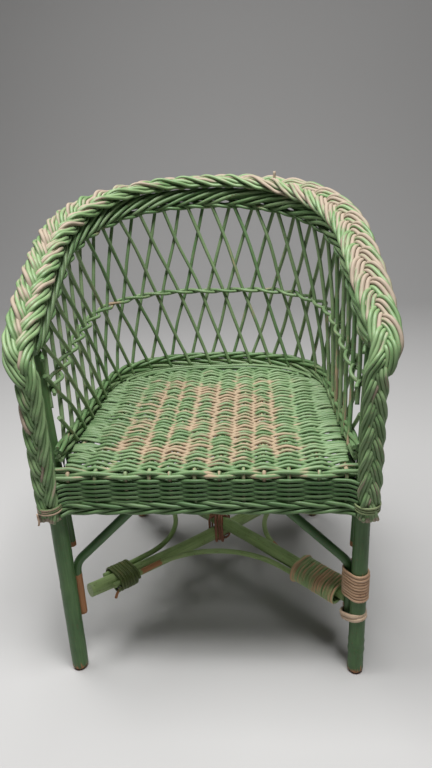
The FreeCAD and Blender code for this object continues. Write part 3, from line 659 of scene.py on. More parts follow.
half_up = STRETCHER_RADIUS + CANE_CLEAR
half_across = STRETCHER_RADIUS + STICK_GAP + 2 * BOW_RADIUS + BOW_WRAP_SLACK + CANE_CLEAR
for corner, (turns, from_end) in BOW_WRAPS.items():
    rise = lift if corner in ("front_right", "back_left") else -lift
    along = unit(crossing + rise - arm_ends[corner])
    across = unit(np.cross(along, UP))
    first = arm_ends[corner] + along * from_end
    lost = corner == "front_left"
    wrap = Rods(CANE_SIDES)
    rubbed = np.linspace(WRAP_WEAR if lost else WRAP_END_WEAR, WRAP_WEAR, TURN_POINTS * turns + 1)
    wind(wrap, first, along, across, half_across, half_up, half_up, CANE_HALF_WIDTH, CANE_PITCH, turns,
         rubbed)
    if lost:
        front = across if across[1] < 0 else -across
        hung = first + front * (half_across - LOOSE_CANE_INSIDE) - UP * LOOSE_CANE_BELOW
        loose_end = rounded([hung + along * on + UP * up for on, up in LOOSE_CANE], LOOSE_CANE_BEND)
        wrap.add(Line(loose_end).spaced(LOOSE_CANE_STEP), CANE_HALF_WIDTH, LOOSE_CANE_WEAR, front, CANE_FLAT)
    else:
        wind(wrap, first + along * CANE_PITCH * (turns - 1), along, across, half_across + CANE_OVER,
             half_up + CANE_OVER, half_up + CANE_OVER, CANE_HALF_WIDTH, 0.0, 1, LAST_TURN_WEAR)
    wrap.make("bow_wrap_" + corner + "_cane", olive_cane if lost else wrap_paint_painted_light, "cane_binding",
              "bow_wrap_" + corner)


def bind_leg(name, corner, foot_height, half_width, pitch, turns, tilt, material):
    """Cane round a leg and the arch tail beside it; tilt lowers the side under the stretcher."""
    foot, top = legs[corner]
    straight = unit(top - foot)
    inward = square_to(straight, tail_place(corner, foot_height)[1])
    along = unit(straight + inward * tilt)
    across = unit(inward - straight * tilt)
    half = LEG_RADIUS + CANE_CLEAR
    start = leg_at(corner, foot_height) + inward * (STICK_GAP / 2 + ARCH_RADIUS)
    binding = Rods(CANE_SIDES)
    wind(binding, start, along, across, LEG_RADIUS + ARCH_RADIUS + STICK_GAP / 2 + CANE_CLEAR, half, half,
         half_width, pitch, turns, LEG_CANE_WEAR)
    binding.make(name + "_cane", material, "cane_binding", name)


for corner in ("front_right", "back_left", "back_right"):
    bind_leg("leg_wrap_" + corner, corner, WRAP_FOOT, CANE_HALF_WIDTH, CANE_PITCH, LEG_WRAP_TURNS, 0.0,
             bare_cane)
    bind_leg("leg_knot_" + corner, corner, KNOT_FOOT, KNOT_HALF_WIDTH, KNOT_PITCH, KNOT_TURNS, KNOT_TILT,
             knot_cane)

lashing = Rods(CANE_SIDES)
for turn_along, turn_across, over in ((BACK, RIGHT, 0.0), (RIGHT, BACK, CANE_OVER)):
    for step in (-1, 0, 1):
        reach = CROTCH_REACH + abs(step) * CANE_PITCH + over
        wind(lashing, crossing + turn_along * (step * CANE_PITCH), turn_along, turn_across, reach,
             2 * STRETCHER_RADIUS + CANE_CLEAR + over, LASHING_BEND, CANE_HALF_WIDTH, 0.0, 1, LASHING_WEAR)
lashing.make("stretcher_lashing_cane", red_cane, "cane_binding", "stretcher_lashing")

# Seat: willow rods woven over and under the stakes that run from back to front. The stakes hook
# over the hoop behind and turn down at the front edge. At the sides the weavers float past the
# last stake and bend down round the hoop. Sitting has rubbed the paint off.
SEAT_STAKES = np.array((-0.112, -0.0805, -0.0565, -0.0355, -0.0105, 0.0145, 0.0385, 0.059, 0.0835, 0.1135))
BARE_WILLOW = (0.37, 0.28, 0.185)
EDGE_STAKE = 0.140
STAKE_SIDES = 10
STAKE_STEP = 0.003
STAKE_WEAR = 0.62
STAKE_SHORT = 0.004
STAKE_PAST_APRON = 0.003
HOOK_LENGTH = 0.006
STAKE_RADIUS = 0.0021
STAKE_LEVEL = SEAT_TOP - 0.006
STAKE_HOOK = 0.2378
SEAT_SAG = 0.003
SAG_HALF_WIDTH = 0.125
SAG_MIDDLE = 0.15
SAG_HALF_DEPTH = 0.145
APRON_Y = -0.0038
EDGE_BEND = 0.006
APRON_FOOT = 0.2255
FRONT_HALF = 0.147
FRONT_ROW_END = 0.1535
WALL_FRONT = 0.027
WEAVER_RADIUS = 0.00182
THICKER_BACK = 0.26
EDGE_WEAVER_RADIUS = 0.00225
WEAVER_FLAT = 0.88
WEAVER_SWING = 0.0036
FLOAT_RISE = 0.0036
ROW_PITCH_FRONT = 0.0039
ROW_PITCH_BACK = 0.0048
ROW_PITCH_POWER = 1.5
FIRST_ROW = 0.0085
LAST_WRAPPED_ROW = 0.262
LAST_ROW_GAP = 0.013
HOOP_ROW_GAP = 0.003
WRAPPED_ROW_SHORT = 0.008
OPEN_ROW_SHORT = 0.003
FLOAT_FRONT = WALL_FRONT - 0.012
WRAP_DROP = 0.0015
WRAP_SIDE_FOOT = 0.2385
WRAP_END_FOOT = 0.2365
WRAP_END_IN = 0.004
WRAP_BEND = 0.005
NEAR_STRAIGHT = 0.97
RUBBED_MIDDLE = (-0.006, 0.128)
RUBBED_HALF = (0.114, 0.135)
RUBBED_SQUARENESS = 5
RUBBED_ALL = 0.15
RUBBED_TOPS = 0.12
RUBBED_BETWEEN = 0.48
RUBBED_BLOTCHES = 0.50
BETWEEN_REACH = 0.45
# Depth of each wave of blotches, its waves across and back, how far it sways and how often.
BLOTCHES = ((0.3, 38, 47, 2.1, 23), (0.2, 90, -70, 1.7, 41))
SEAT_WEAR = 0.05
SEAT_SIDE_WEAR = 0.1
SEAT_SIDE = SEAT_STAKES[-1] + 0.004
# Where the weave has loosened, across and back.
LOOSE_SPOTS = ((-0.0355, 0.205), (-0.0355, 0.118), (0.0145, 0.165), (0.0145, 0.098), (-0.0565, 0.155),
               (0.0385, 0.20), (-0.0105, 0.062), (0.059, 0.13), (0.059, 0.052), (-0.0805, 0.085),
               (0.0835, 0.165), (-0.0105, 0.235))
LOOSE_REACH = 0.0015
LOOSE_WIDE = 0.008
LOOSE_DEEP = 0.011
# How far each rod lies inside the edge and above the stakes, and the share of the edge where it starts.
BACK_EDGE_RODS = ((0.0105, 0.0035, 0.33), (0.0064, 0.0052, 0.30), (0.0025, 0.0064, 0.25),
                  (-0.001, 0.0025, 0.25), (-0.001, -0.0030, 0.25))
BACK_EDGE_STEPS = 120
BACK_EDGE_SWELL = 1.1
BACK_EDGE_DROP = 0.004
BACK_EDGE_WEAR = 0.1
# Number of each row over the front edge, and how far round the edge it lies.
EDGE_ROWS = ((-1, -0.40), (-2, 0.15), (-3, 0.75), (-4, 1.30))
EDGE_SWING = 0.85
EDGE_WEAR = 0.24
EDGE_RUBBED = 0.22
EDGE_BETWEEN_REACH = 0.5
POST_Y = 0.021
POST_ROOM = 0.008
WEAVER_STEP = 0.0022

all_stakes = np.concatenate([[-EDGE_STAKE], SEAT_STAKES, [EDGE_STAKE]])


def seat_half(y):
    """Half width of the seat at a distance behind the front legs."""
    if y < WALL_FRONT:
        return FRONT_HALF
    if y < SEAT_CURVE_START:
        part = (y - WALL_FRONT) / (SEAT_CURVE_START - WALL_FRONT)
        return SEAT_HALF_FRONT + (SEAT_HALF_SIDE - SEAT_HALF_FRONT) * part
    reach = min((y - SEAT_CURVE_START) / (SEAT_DEPTH - SEAT_CURVE_START), 1.0)
    return SEAT_HALF_SIDE * (1 - reach ** SEAT_SQUARENESS) ** (1 / SEAT_SQUARENESS)


def seat_back(x):
    share = max(1 - (abs(x) / SEAT_HALF_SIDE) ** SEAT_SQUARENESS, 0.0) ** (1 / SEAT_SQUARENESS)
    return SEAT_CURVE_START + (SEAT_DEPTH - SEAT_CURVE_START) * share


def sag(x, y):
    """How far the seat has sunk from being sat on."""
    deep = np.clip(1 - ((y - SAG_MIDDLE) / SAG_HALF_DEPTH) ** 2, 0, 1)
    return -SEAT_SAG * np.clip(1 - (x / SAG_HALF_WIDTH) ** 2, 0, 1) * deep


def over_under(x, row):
    """1 where a weaver lies on top of a stake, -1 where it goes under, near straight between."""
    place = np.interp(x, all_stakes, np.arange(len(all_stakes)))
    return np.arcsin(NEAR_STRAIGHT * np.cos(math.pi * (place + row))) / math.asin(NEAR_STRAIGHT)


def seat_rubbing(x, y):
    """How much of the paint sitting has rubbed off."""
    wide = np.abs((x - RUBBED_MIDDLE[0]) / RUBBED_HALF[0]) ** RUBBED_SQUARENESS
    deep = np.abs((y - RUBBED_MIDDLE[1]) / RUBBED_HALF[1]) ** RUBBED_SQUARENESS
    return np.exp(-wide - deep)


def weaver(rods, body, radius, wear, face):
    """One woven rod of uneven thickness, a little flattened."""
    rods.add(body, radius * (1 + uneven(body, 0.07, 9)), wear, face, WEAVER_FLAT)


weave_paint = rod_finish("weave_paint", (0.087, 0.178, 0.064), (0.208, 0.30, 0.152), BARE_WILLOW,
                         (0.20, 0.25, 0.12), wear=0.0, fading=0.35)
stakes = Rods(STAKE_SIDES)
for x in all_stakes:
    run = [(x, APRON_Y, STAKE_LEVEL), (x, APRON_Y, APRON_FOOT - STAKE_PAST_APRON)]
    if abs(x) < EDGE_STAKE:
        back = seat_back(x) - HOOP_INSET + RAIL_RADIUS + STAKE_RADIUS
        run = [(x, back - HOOK_LENGTH, STAKE_HOOK), (x, back, STAKE_HOOK), (x, back, STAKE_LEVEL)] + run
    else:
        run = [(x, seat_back(x) - STAKE_SHORT, STAKE_LEVEL)] + run
    points = Line(rounded(run, EDGE_BEND)).spaced(STAKE_STEP)
    points[:, 2] += sag(points[:, 0], points[:, 1])
    stakes.add(points, STAKE_RADIUS * (1 + uneven(points, 0.05, 8)), STAKE_WEAR)
stakes.make("seat_stake_rods", weave_paint, "seat_rods", "seat_stakes")


def parted(x, y):
    """How far the weavers have been pushed apart, forward or back, at the loose spots of the weave."""
    shift = 0.0
    for spot_x, spot_y in LOOSE_SPOTS:
        near = close_to(x - spot_x, LOOSE_WIDE) * close_to(y - spot_y, LOOSE_DEEP)
        shift = shift + LOOSE_REACH * near * (1 if y > spot_y else -1)
    return shift


seat_rows = Rods()
row = 0
y = FIRST_ROW
while y < SEAT_DEPTH - LAST_ROW_GAP:
    half = seat_half(y)
    wrapped = HOOP_FRONT + HOOP_ROW_GAP < y < LAST_WRAPPED_ROW and abs(y - POST_Y) > POST_ROOM
    end = half - WRAPPED_ROW_SHORT if wrapped else min(half - OPEN_ROW_SHORT, FRONT_ROW_END)
    count = max(int(2 * end / WEAVER_STEP), 8)
    x = np.linspace(-end, end, count)
    past = np.clip((np.abs(x) - SEAT_STAKES[-1]) / (EDGE_STAKE - SEAT_STAKES[-1]), 0, 1)
    ease = past * past * (3 - 2 * past) if y > FLOAT_FRONT else 0 * past
    rise = WEAVER_SWING * over_under(x, row) * (1 - ease) + FLOAT_RISE * ease + uneven(x, 0.0008, 24)
    splay = np.where(x > 0, chance.normal(0, 0.0019), chance.normal(0, 0.0019)) * ease
    depth = y + parted(x, y) + uneven(x, 0.0007, 16) + splay
    body = np.column_stack([x, depth, STAKE_LEVEL + sag(x, y) + rise])
    if wrapped:
        side = half + RAIL_RADIUS - HOOP_INSET + WEAVER_RADIUS
        for sign in (-1, 1):
            last = body[0] if sign < 0 else body[-1]
            turn = rounded([last, (sign * side, last[1], last[2] - WRAP_DROP),
                            (sign * side, last[1], WRAP_SIDE_FOOT),
                            (sign * (half - WRAP_END_IN), last[1], WRAP_END_FOOT)], WRAP_BEND)[1:]
            body = np.concatenate([turn[::-1], body] if sign < 0 else [body, turn])
    across = body[:, 0]
    wave = over_under(across, row)
    between = close_to(wave, BETWEEN_REACH)
    blotch = 0.5
    for depth, by_x, by_y, sway, by_sway in BLOTCHES:
        blotch = blotch + depth * np.sin(by_x * across + by_y * y + sway * math.sin(by_sway * y))
    rubbed = RUBBED_ALL + RUBBED_TOPS * np.clip(wave, 0, 1) + RUBBED_BETWEEN * between
    rubbed = SEAT_WEAR + seat_rubbing(across, y) * (rubbed + RUBBED_BLOTCHES * blotch)
    rubbed = np.where(np.abs(across) > SEAT_SIDE, SEAT_SIDE_WEAR, rubbed) + chance.normal(0, 0.08)
    size = WEAVER_RADIUS * (1 + THICKER_BACK * y / SEAT_DEPTH) * chance.uniform(0.88, 1.12)
    weaver(seat_rows, body, size, rubbed, UP)
    row += 1
    pitch = ROW_PITCH_FRONT + (ROW_PITCH_BACK - ROW_PITCH_FRONT) * (y / SEAT_DEPTH) ** ROW_PITCH_POWER
    y += pitch * (1 + chance.uniform(-0.2, 0.2))
for inset, lift_up, first in BACK_EDGE_RODS:
    shares = np.linspace(first, 1 - first, BACK_EDGE_STEPS)
    back_edge = seat_line(inset, WALL_FRONT, STAKE_LEVEL + lift_up).at(shares)
    back_edge[:, 2] += uneven(shares, 0.0006, 9)
    back_edge[[0, -1], 2] -= BACK_EDGE_DROP
    seat_rows.add(back_edge, WEAVER_RADIUS * BACK_EDGE_SWELL, BACK_EDGE_WEAR, UP, WEAVER_FLAT)

edge_hub = np.array((0.0, APRON_Y + EDGE_BEND, STAKE_LEVEL - EDGE_BEND))
for row, tilt in EDGE_ROWS:
    way = np.array((0.0, -math.sin(tilt), math.cos(tilt)))
    x = np.linspace(-FRONT_ROW_END, FRONT_ROW_END, int(2 * FRONT_ROW_END / WEAVER_STEP))
    wave = over_under(x, row)
    body = edge_hub + way * EDGE_BEND + np.outer(x, RIGHT) + np.outer(WEAVER_SWING * EDGE_SWING * wave, way)
    body[:, 2] += uneven(x, 0.0006, 14)
    rubbed = EDGE_WEAR + EDGE_RUBBED * close_to(wave, EDGE_BETWEEN_REACH) + uneven(x, 0.15, 12)
    weaver(seat_rows, body, EDGE_WEAVER_RADIUS, rubbed, way)
seat_rows.make("seat_weaver_rods", weave_paint, "seat_rods", "seat_weave")

# Apron: the weave of the seat carried on down the front, on the turned down ends of the stakes.
# Its rods are willow too, under the seat's green painted darker as painted shade on the front, and their
# ends pass in front of the legs.
APRON_HALF = 0.1515
APRON_WEAVER_RADIUS = 0.00205
APRON_ROW = 0.00255
PAST_LEG = 0.007
PAST_LEG_FROM = 0.139
PAST_LEG_WITHIN = 0.0115
APRON_FIRST_ROW = 0.0030
APRON_LAST_ROW = 0.001
APRON_SWING = 0.0023
APRON_ROW_LIFT = 0.0007
APRON_WEAR = 0.18

# Apron paint: the seat's green painted darker, as painted shade on the front of the apron and its border.
apron_paint_painted_shade = rod_finish("apron_paint_painted_shade", (0.05, 0.123, 0.038), (0.14, 0.225, 0.098), BARE_WILLOW,
                         (0.11, 0.16, 0.07), wear=-0.08, fading=0.25)


def past_leg(x):
    """How far the apron's ends come forward to pass in front of the legs."""
    return PAST_LEG * np.clip((np.abs(x) - PAST_LEG_FROM) / PAST_LEG_WITHIN, 0, 1) ** 2


apron_rows = Rods()
row = EDGE_ROWS[-1][0] - 1
level = STAKE_LEVEL - EDGE_BEND - APRON_FIRST_ROW
while level > APRON_FOOT - APRON_LAST_ROW:
    end = APRON_HALF + chance.uniform(-0.002, 0.0015)
    x = np.linspace(-end, end, int(2 * end / WEAVER_STEP))
    wave = over_under(x, row)
    body = np.column_stack([x, APRON_Y - APRON_SWING * wave - past_leg(x), level + APRON_ROW_LIFT * wave])
    body[:, 2] += uneven(x, 0.0005, 12)
    rubbed = APRON_WEAR + chance.normal(0, 0.07) + uneven(x, 0.08, 9)
    weaver(apron_rows, body, APRON_WEAVER_RADIUS, rubbed, -BACK)
    row -= 1
    level -= APRON_ROW * (1 + chance.uniform(-0.07, 0.07))
apron_rows.make("front_apron_rods", apron_paint_painted_shade, "apron_rods", "front_apron")

# Borders of twisted rods: two rows along the foot of the apron and two round the edge of the seat.
# Each row is rods twisted together, the two rows by opposite hands, so they meet in a chevron.
APRON_STRAND = 0.0021
APRON_TWIST = 0.090
APRON_ROPE_FRONT = 0.0008
APRON_ROPE_POINTS = 90
# Height of each row, and the hand of its twist.
APRON_ROPES = ((0.2232, 1), (0.2160, -1))
BANDS = (("seat_band_lower", 0.2692, 1), ("seat_band_upper", 0.2780, -1))
BAND_STRAND = 0.00235
BAND_TWIST = 0.105
BAND_FRONT = 0.010
STRANDS = 3
STRAND_REACH = 1.16
ROPE_STEP = 0.0028
ROPE_WEAR = 0.2

wall_paint = rod_finish("wall_paint", (0.092, 0.19, 0.07), (0.235, 0.32, 0.165), (0.36, 0.26, 0.17),
                        (0.15, 0.125, 0.065), wear=-0.02, fading=0.25)


def rope(rods, line, strand, twist, hand):
    """Rods twisted round each other along a line; hand is 1 or -1."""
    points = line.spaced(ROPE_STEP)
    along = heading(points)
    out = unit(np.cross(along, UP))
    over = np.cross(out, along)
    marks = np.linspace(0, line.length, len(points))
    for i in range(STRANDS):
        angle = 2 * math.pi * (hand * marks / twist + i / STRANDS) + uneven(points, 0.12, 12)
        offset = over * np.cos(angle)[:, None] + out * np.sin(angle)[:, None]
        size = strand * (1 + uneven(points, 0.05, 14))
        wear = ROPE_WEAR + chance.normal(0, 0.06) + uneven(points, 0.08, 16)
        rods.add(points + offset * (strand * STRAND_REACH), size, wear)


apron_border = Rods()
for height, hand in APRON_ROPES:
    x = np.linspace(-APRON_HALF, APRON_HALF, APRON_ROPE_POINTS)
    border = Line(np.column_stack([x, APRON_Y - APRON_ROPE_FRONT - past_leg(x), height + 0 * x]))
    rope(apron_border, border, APRON_STRAND, APRON_TWIST, hand)
apron_border.make("apron_border_rods", apron_paint_painted_shade, "apron_rods", "apron_border")
for name, height, hand in BANDS:
    band = Rods()
    rope(band, seat_line(0.0, BAND_FRONT, height), BAND_STRAND, BAND_TWIST, hand)
    band.make(name + "_rods", wall_paint, "wall_rods", name)

# Wall: two layers of slanting rods that cross in a lattice from the seat band up to the rim,
# with two thin twists woven through them. The inner layer leans one way, the outer the other.
RIM_FRONT = 0.014
RIM_DEPTH = 0.319
RIM_HALF_FRONT = 0.163
RIM_HALF_SIDE = 0.160
RIM_CURVE_START = 0.131
RIM_SQUARENESS = 2.05
RIM_BACK_HEIGHT = 0.500
RIM_FRONT_HEIGHT = 0.385
RIM_DROP_POWER = 2.2
RIM_LEAN = 0.012
WALL_FOOT = 0.2896
ROD_RADIUS = 0.0023
ROD_INTO_BAND = 0.024
LATTICE_COUNT = 25
LATTICE_SHIFT = 2.5
LATTICE_SPARE = 3
LATTICE_WEAR = 0.18
LATTICE_FOOT_WEAR = {"left": 0.1, "back": 0.1, "right": 0.3}
LEFT_PART_END = 0.3
RIGHT_PART_START = 0.7
POST_RADIUS = 0.0045
RIM_HOOP_RADIUS = 0.006
WALE_RADIUS = 0.0021
WALE_TWIST_PITCHES = 2.0
UPPER_WALE_BELOW_RIM = 0.0135
MID_WALE_RISE = 0.39
MID_WALE_FRONT_RISE = 0.08
WALE_LIFT = 0.0016
WALE_POINTS = 420
WALE_WEAR = 0.24
LOOSE_WALE = 0.30
LOOSE_WALE_REACH = 0.02
LOOSE_WALE_WEAR = 0.5
RIM_CLEAR = 0.001
WALL_SAMPLES = 60
FEWEST_SAMPLES = 12

wall_foot = seat_line(0.0, WALL_FRONT, WALL_FOOT)


def rim_height(share):
    return RIM_BACK_HEIGHT - (RIM_BACK_HEIGHT - RIM_FRONT_HEIGHT) * np.abs(2 * share - 1) ** RIM_DROP_POWER


rim = u_line(RIM_HALF_FRONT, RIM_HALF_SIDE, RIM_FRONT, RIM_CURVE_START, RIM_DEPTH, RIM_SQUARENESS,
             rim_height, RIM_LEAN)


def on_wall(share, rise):
    foot = wall_foot.at(share)
    return foot + (rim.at(share) - foot) * np.asarray(rise)[..., None]


def wall_height(share):
    return np.linalg.norm(rim.at(share) - wall_foot.at(share), axis=-1)


def wall_outward(share, rise):
    low = np.clip(share - SHARE_STEP, 0, 1)
    high = np.clip(share + SHARE_STEP, 0, 1)
    up = rim.at(share) - wall_foot.at(share)
    return unit(np.cross(up, on_wall(high, rise) - on_wall(low, rise)))


def wall(share, rise, outward):
    rise = np.broadcast_to(rise, np.shape(share))
    outward = np.broadcast_to(outward, np.shape(share))[:, None]
    return on_wall(share, rise) + wall_outward(share, rise) * outward


layer = ROD_RADIUS + STICK_GAP / 2
post_edge = 0.5 * POST_RADIUS / wall_foot.length
lattice_groups = {}
for layer_name, lean, outward in (("inner", -1, -layer), ("outer", 1, layer)):
    for part in ("left", "back", "right"):
        lattice_groups[layer_name + "_" + part] = Rods()
    for base in range(-LATTICE_SPARE, LATTICE_COUNT + LATTICE_SPARE + 1):
        rise = np.linspace(0, 1.0, WALL_SAMPLES)
        share = (base + lean * LATTICE_SHIFT * rise + uneven(rise, 0.07, 3)) / LATTICE_COUNT
        rise = rise * (1 + ROD_INTO_BAND / wall_height(share)) - ROD_INTO_BAND / wall_height(share)
        inside = (share >= post_edge) & (share <= 1 - post_edge)
        if not inside.any():
            continue
        share, rise = share[inside], rise[inside]
        line = wall(share, rise, outward + uneven(share, 0.0006, 4))
        to_rim = np.min(np.linalg.norm(line[:, None] - rim.points[None], axis=-1), axis=1)
        line = line[to_rim > RIM_HOOP_RADIUS + RIM_CLEAR]
        if len(line) < FEWEST_SAMPLES:
            continue
        middle = (base + lean * LATTICE_SHIFT / 2) / LATTICE_COUNT
        part = "left" if middle < LEFT_PART_END else "right" if middle > RIGHT_PART_START else "back"
        wear = chance.normal(LATTICE_WEAR, 0.1) + LATTICE_FOOT_WEAR[part] * np.linspace(1, 0, len(line))
        size = ROD_RADIUS * (1 + uneven(line, 0.06, 5))
        lattice_groups[layer_name + "_" + part].add(line, size, wear + uneven(line, 0.1, 5))
for group, rods in lattice_groups.items():
    rods.make("lattice_" + group + "_rods", wall_paint, "wall_rods", "lattice_" + group)


def wale(name, rise):
    """Two rods twisted through the lattice, passing inside and outside it by turns."""
    share = np.linspace(post_edge, 1 - post_edge, WALE_POINTS)
    angle = 2 * math.pi * share * LATTICE_COUNT / WALE_TWIST_PITCHES
    swing = layer + ROD_RADIUS + WALE_RADIUS
    loose = LOOSE_WALE_WEAR * close_to(share - LOOSE_WALE, LOOSE_WALE_REACH)
    pair = Rods()
    for start in (0.0, math.pi):
        line = wall(share, rise(share), swing * np.cos(angle + start))
        line[:, 2] += WALE_LIFT * np.sin(angle + start) + uneven(share, 0.0005, 16)
        wear = WALE_WEAR + loose + uneven(share, 0.15, 20)
        pair.add(line, WALE_RADIUS * (1 + uneven(share, 0.05, 20)), wear)
    pair.make(name + "_rods", wall_paint, "wall_rods", name)


wale("mid_wale", lambda share: MID_WALE_RISE + MID_WALE_FRONT_RISE * np.abs(2 * share - 1))
wale("upper_wale", lambda share: 1 - UPPER_WALE_BELOW_RIM / wall_height(share))

# Arm posts: two thin sticks that stand against the hoop and come up under the ends of the rim.
# Their feet end free behind the front legs, cut square and bare.
POST_FOOT = 0.158
POST_TOP_GAP = 0.0121
POST_WEAR = 0.1
POST_BARE = 1.4
POST_BARE_LENGTH = 0.008
for side, sign in SIDES:
    near = 2 * POST_RADIUS / rim.length
    under = rim.at(near if sign < 0 else 1 - near)
    along = unit(under - rim.at(0.0 if sign < 0 else 1.0))
    down = unit(along * np.dot(UP, along) - UP)
    top = under + down * POST_TOP_GAP
    taper = (SEAT_HALF_FRONT - SEAT_HALF_SIDE) * (POST_Y - HOOP_FRONT) / (SEAT_CURVE_START - HOOP_FRONT)
    hoop_side = SEAT_HALF_FRONT - HOOP_INSET - taper + RAIL_RADIUS + STICK_GAP + POST_RADIUS
    at_hoop = np.array((sign * hoop_side, POST_Y, RAIL_HEIGHT))
    foot = at_hoop + (top - at_hoop) * ((POST_FOOT - RAIL_HEIGHT) / (top[2] - RAIL_HEIGHT))
    height = Line([foot, top]).spaced(STICK_STEP)[:, 2]
    wear = np.where(height < POST_FOOT + POST_BARE_LENGTH, POST_BARE, POST_WEAR)
    stick("arm_post_" + side, [foot, top], POST_RADIUS, 8, wear)

# Rim: a bent hoop hidden in a roll of the wall rods, which turn over it at a shallow slant.
# The roll is many rods laid side by side, dark where the plait shades it.
ROLL_RODS = 8
ROLL_RADIUS = 0.0024
ROLL_HALF_WIDTH = 0.0077
ROLL_HALF_HEIGHT = 0.0098
ROLL_DROP = 0.0025
ROLL_TWIST = 0.190
ROLL_CLOSING = 0.03
ROLL_CLOSED = 0.5
ROLL_WEAR = 0.15
stick("rim_hoop", rim.points, RIM_HOOP_RADIUS, 20)
roll = Rods()
points = rim.spaced(ROPE_STEP)
along = heading(points)
inward = unit(np.cross(along, UP))
over = np.cross(inward, along)
marks = np.linspace(0, rim.length, len(points))
to_end = np.minimum(marks, rim.length - marks)
closing = 1 - ROLL_CLOSED * np.clip(1 - to_end / ROLL_CLOSING, 0, 1) ** 2
for i in range(ROLL_RODS):
    angle = -2 * math.pi * (marks / ROLL_TWIST + i / ROLL_RODS) + uneven(points, 0.25, 14)
    high = (ROLL_HALF_HEIGHT * np.cos(angle) - ROLL_DROP) * closing
    line = points + over * high[:, None] + inward * (ROLL_HALF_WIDTH * closing * np.sin(angle))[:, None]
    size = ROLL_RADIUS * (1 + uneven(points, 0.1, 14))
    roll.add(line, size, ROLL_WEAR + uneven(points, 0.12, 16))
roll.make("border_roll_rods", wall_paint, "rim_rods", "border_roll")

# Plait: five strands of three rods each, plaited flat over the rim and down both arm fronts.
# It is tied to the front legs at its feet, and worn pale where hands and arms rub it.
PLAIT_LIFT = 0.0183
PLAIT_TILT = 0.22
PLAIT_FACING = -0.42
PLAIT_LONGER_BACK = 0.4
PLAIT_FRONT_X = 0.1605
PLAIT_FRONT_Y = -0.01455
PLAIT_FOOT = 0.2115
PLAIT_SHOULDER = 0.365
PLAIT_WIDENING = 0.060
NOSE_STEPS = 24
PLAIT_STEP = 0.0031
PLAIT_STRANDS = 5
PLAIT_RODS = 3
PLAIT_EDGE_TURN = math.radians(60)
PLAIT_LINGER = 0.15
STUB_PLACE = (0.088, 0.30)
STUB_LENGTH = 0.0155
STUB_RADIUS = 0.0019
STUB_LEAN = 0.05
STUB_POINTS = 6
STUB_WEAR = 1.5
RIM_SIZES = {"swing": 0.0132, "rise": 0.0041, "rod": 0.00235, "gap": 0.0046, "period": 0.122, "lap": 0.50}
FRONT_SIZES = {"swing": 0.0081, "rise": 0.0036, "rod": 0.0019, "gap": 0.0036, "period": 0.118, "lap": 0.42}
PINCH_REACH = 0.013
PINCH = 0.17
BACK_FROM = 0.20
BACK_BLEND = 0.09
RIGHT_ARM_BLEND = 0.1
RUBBED_RIM = 0.28
RUBBED_RIGHT_ARM = 0.20
SIDEWAYS_SHARE = 0.3
RIM_WEAR = 0.17
LEFT_FRONT_KEPT = 0.07
CUT_END = 0.006
CUT_END_WEAR = 0.7
LAP_WEAR = 0.18
# Waves of the over and under in one round of a strand, and the share of each.
LAP_SHARES = ((2, 1.0), (4, 0.4), (6, 0.2))
PLAIT_BULGE = 0.3
PLAIT_ROD_FLAT = 0.92
RIM_POINTS = 240

rim_paint = rod_finish("rim_paint", (0.095, 0.195, 0.068), (0.225, 0.325, 0.16), (0.335, 0.27, 0.205),
                       (0.22, 0.23, 0.11), wear=0.0, fading=0.35)


def at_back(place):
    """1 along the back of the rim, 0 along its arms."""
    return np.clip((place[..., 1:2] - BACK_FROM) / BACK_BLEND, 0, 1)


def rim_plait(share):
    """Middle of the plait over the rim, and the way it faces: inward on the arms, up at the back."""
    up = unit(rim.at(share) - wall_foot.at(share))
    outward = wall_outward(share, np.ones(np.shape(share)))
    low = np.clip(share - 2 * SHARE_STEP, 0, 1)
    along = unit(rim.at(np.clip(share + 2 * SHARE_STEP, 0, 1)) - rim.at(low))
    facing = PLAIT_FACING * (1 - at_back(rim.at(share)))
    lifted, face = [square_to(along, up + outward * lean) for lean in (PLAIT_TILT, facing)]
    return rim.at(share) + lifted * PLAIT_LIFT, face


def arm_front(sign):
    """Middle of the plait from its foot up the arm front and over the nose, and the way it faces."""
    foot = np.array((sign * PLAIT_FRONT_X, PLAIT_FRONT_Y, PLAIT_FOOT))
    shoulder = np.array((sign * PLAIT_FRONT_X, PLAIT_FRONT_Y, PLAIT_SHOULDER))
    end = 0.0 if sign < 0 else 1.0
    spots, faces = rim_plait(np.array([end, abs(end - 2 * SHARE_STEP)]))
    along = unit(spots[0] - spots[1])
    peak = spots[0] + along * ((PLAIT_FRONT_Y - spots[0][1]) / along[1])
    part = np.linspace(0, 1, NOSE_STEPS, endpoint=False)[:, None]
    rise = foot + (shoulder - foot) * part
    nose = bend(shoulder, peak, spots[0], part)
    turn = faces[0] * part - BACK * (1 - part)
    return np.concatenate([rise, nose]), np.concatenate([0 * part - BACK, turn])


left_line, left_face = arm_front(-1)
right_line, right_face = arm_front(1)
over_line, over_face = rim_plait(np.linspace(0, 1, RIM_POINTS))
plait_line = Line(np.concatenate([left_line, over_line, right_line[::-1]]))
plait_face = np.concatenate([left_face, over_face, right_face[::-1]])
plait_share = np.linspace(0, 1, int(plait_line.length / PLAIT_STEP))
middle = plait_line.at(plait_share)
face = np.stack([np.interp(plait_share, plait_line.shares, plait_face[:, i]) for i in range(3)], -1)
along = heading(middle)
across = unit(np.cross(along, face))
normal = np.cross(across, along)
on_rim = np.clip((middle[:, 2] - PLAIT_SHOULDER) / PLAIT_WIDENING, 0, 1)
sizes = {key: FRONT_SIZES[key] + (RIM_SIZES[key] - FRONT_SIZES[key]) * on_rim for key in RIM_SIZES}
pinched = 1 - PINCH * close_to(middle[:, 2] - PLAIT_FOOT - PINCH_REACH, PINCH_REACH)
sizes["swing"] = sizes["swing"] * pinched
sizes["gap"] = sizes["gap"] * pinched
sizes["period"] = sizes["period"] * (1 + PLAIT_LONGER_BACK * at_back(middle)[:, 0])
step = plait_line.length / (len(plait_share) - 1)
phase = 2 * math.pi * np.cumsum(step / sizes["period"])
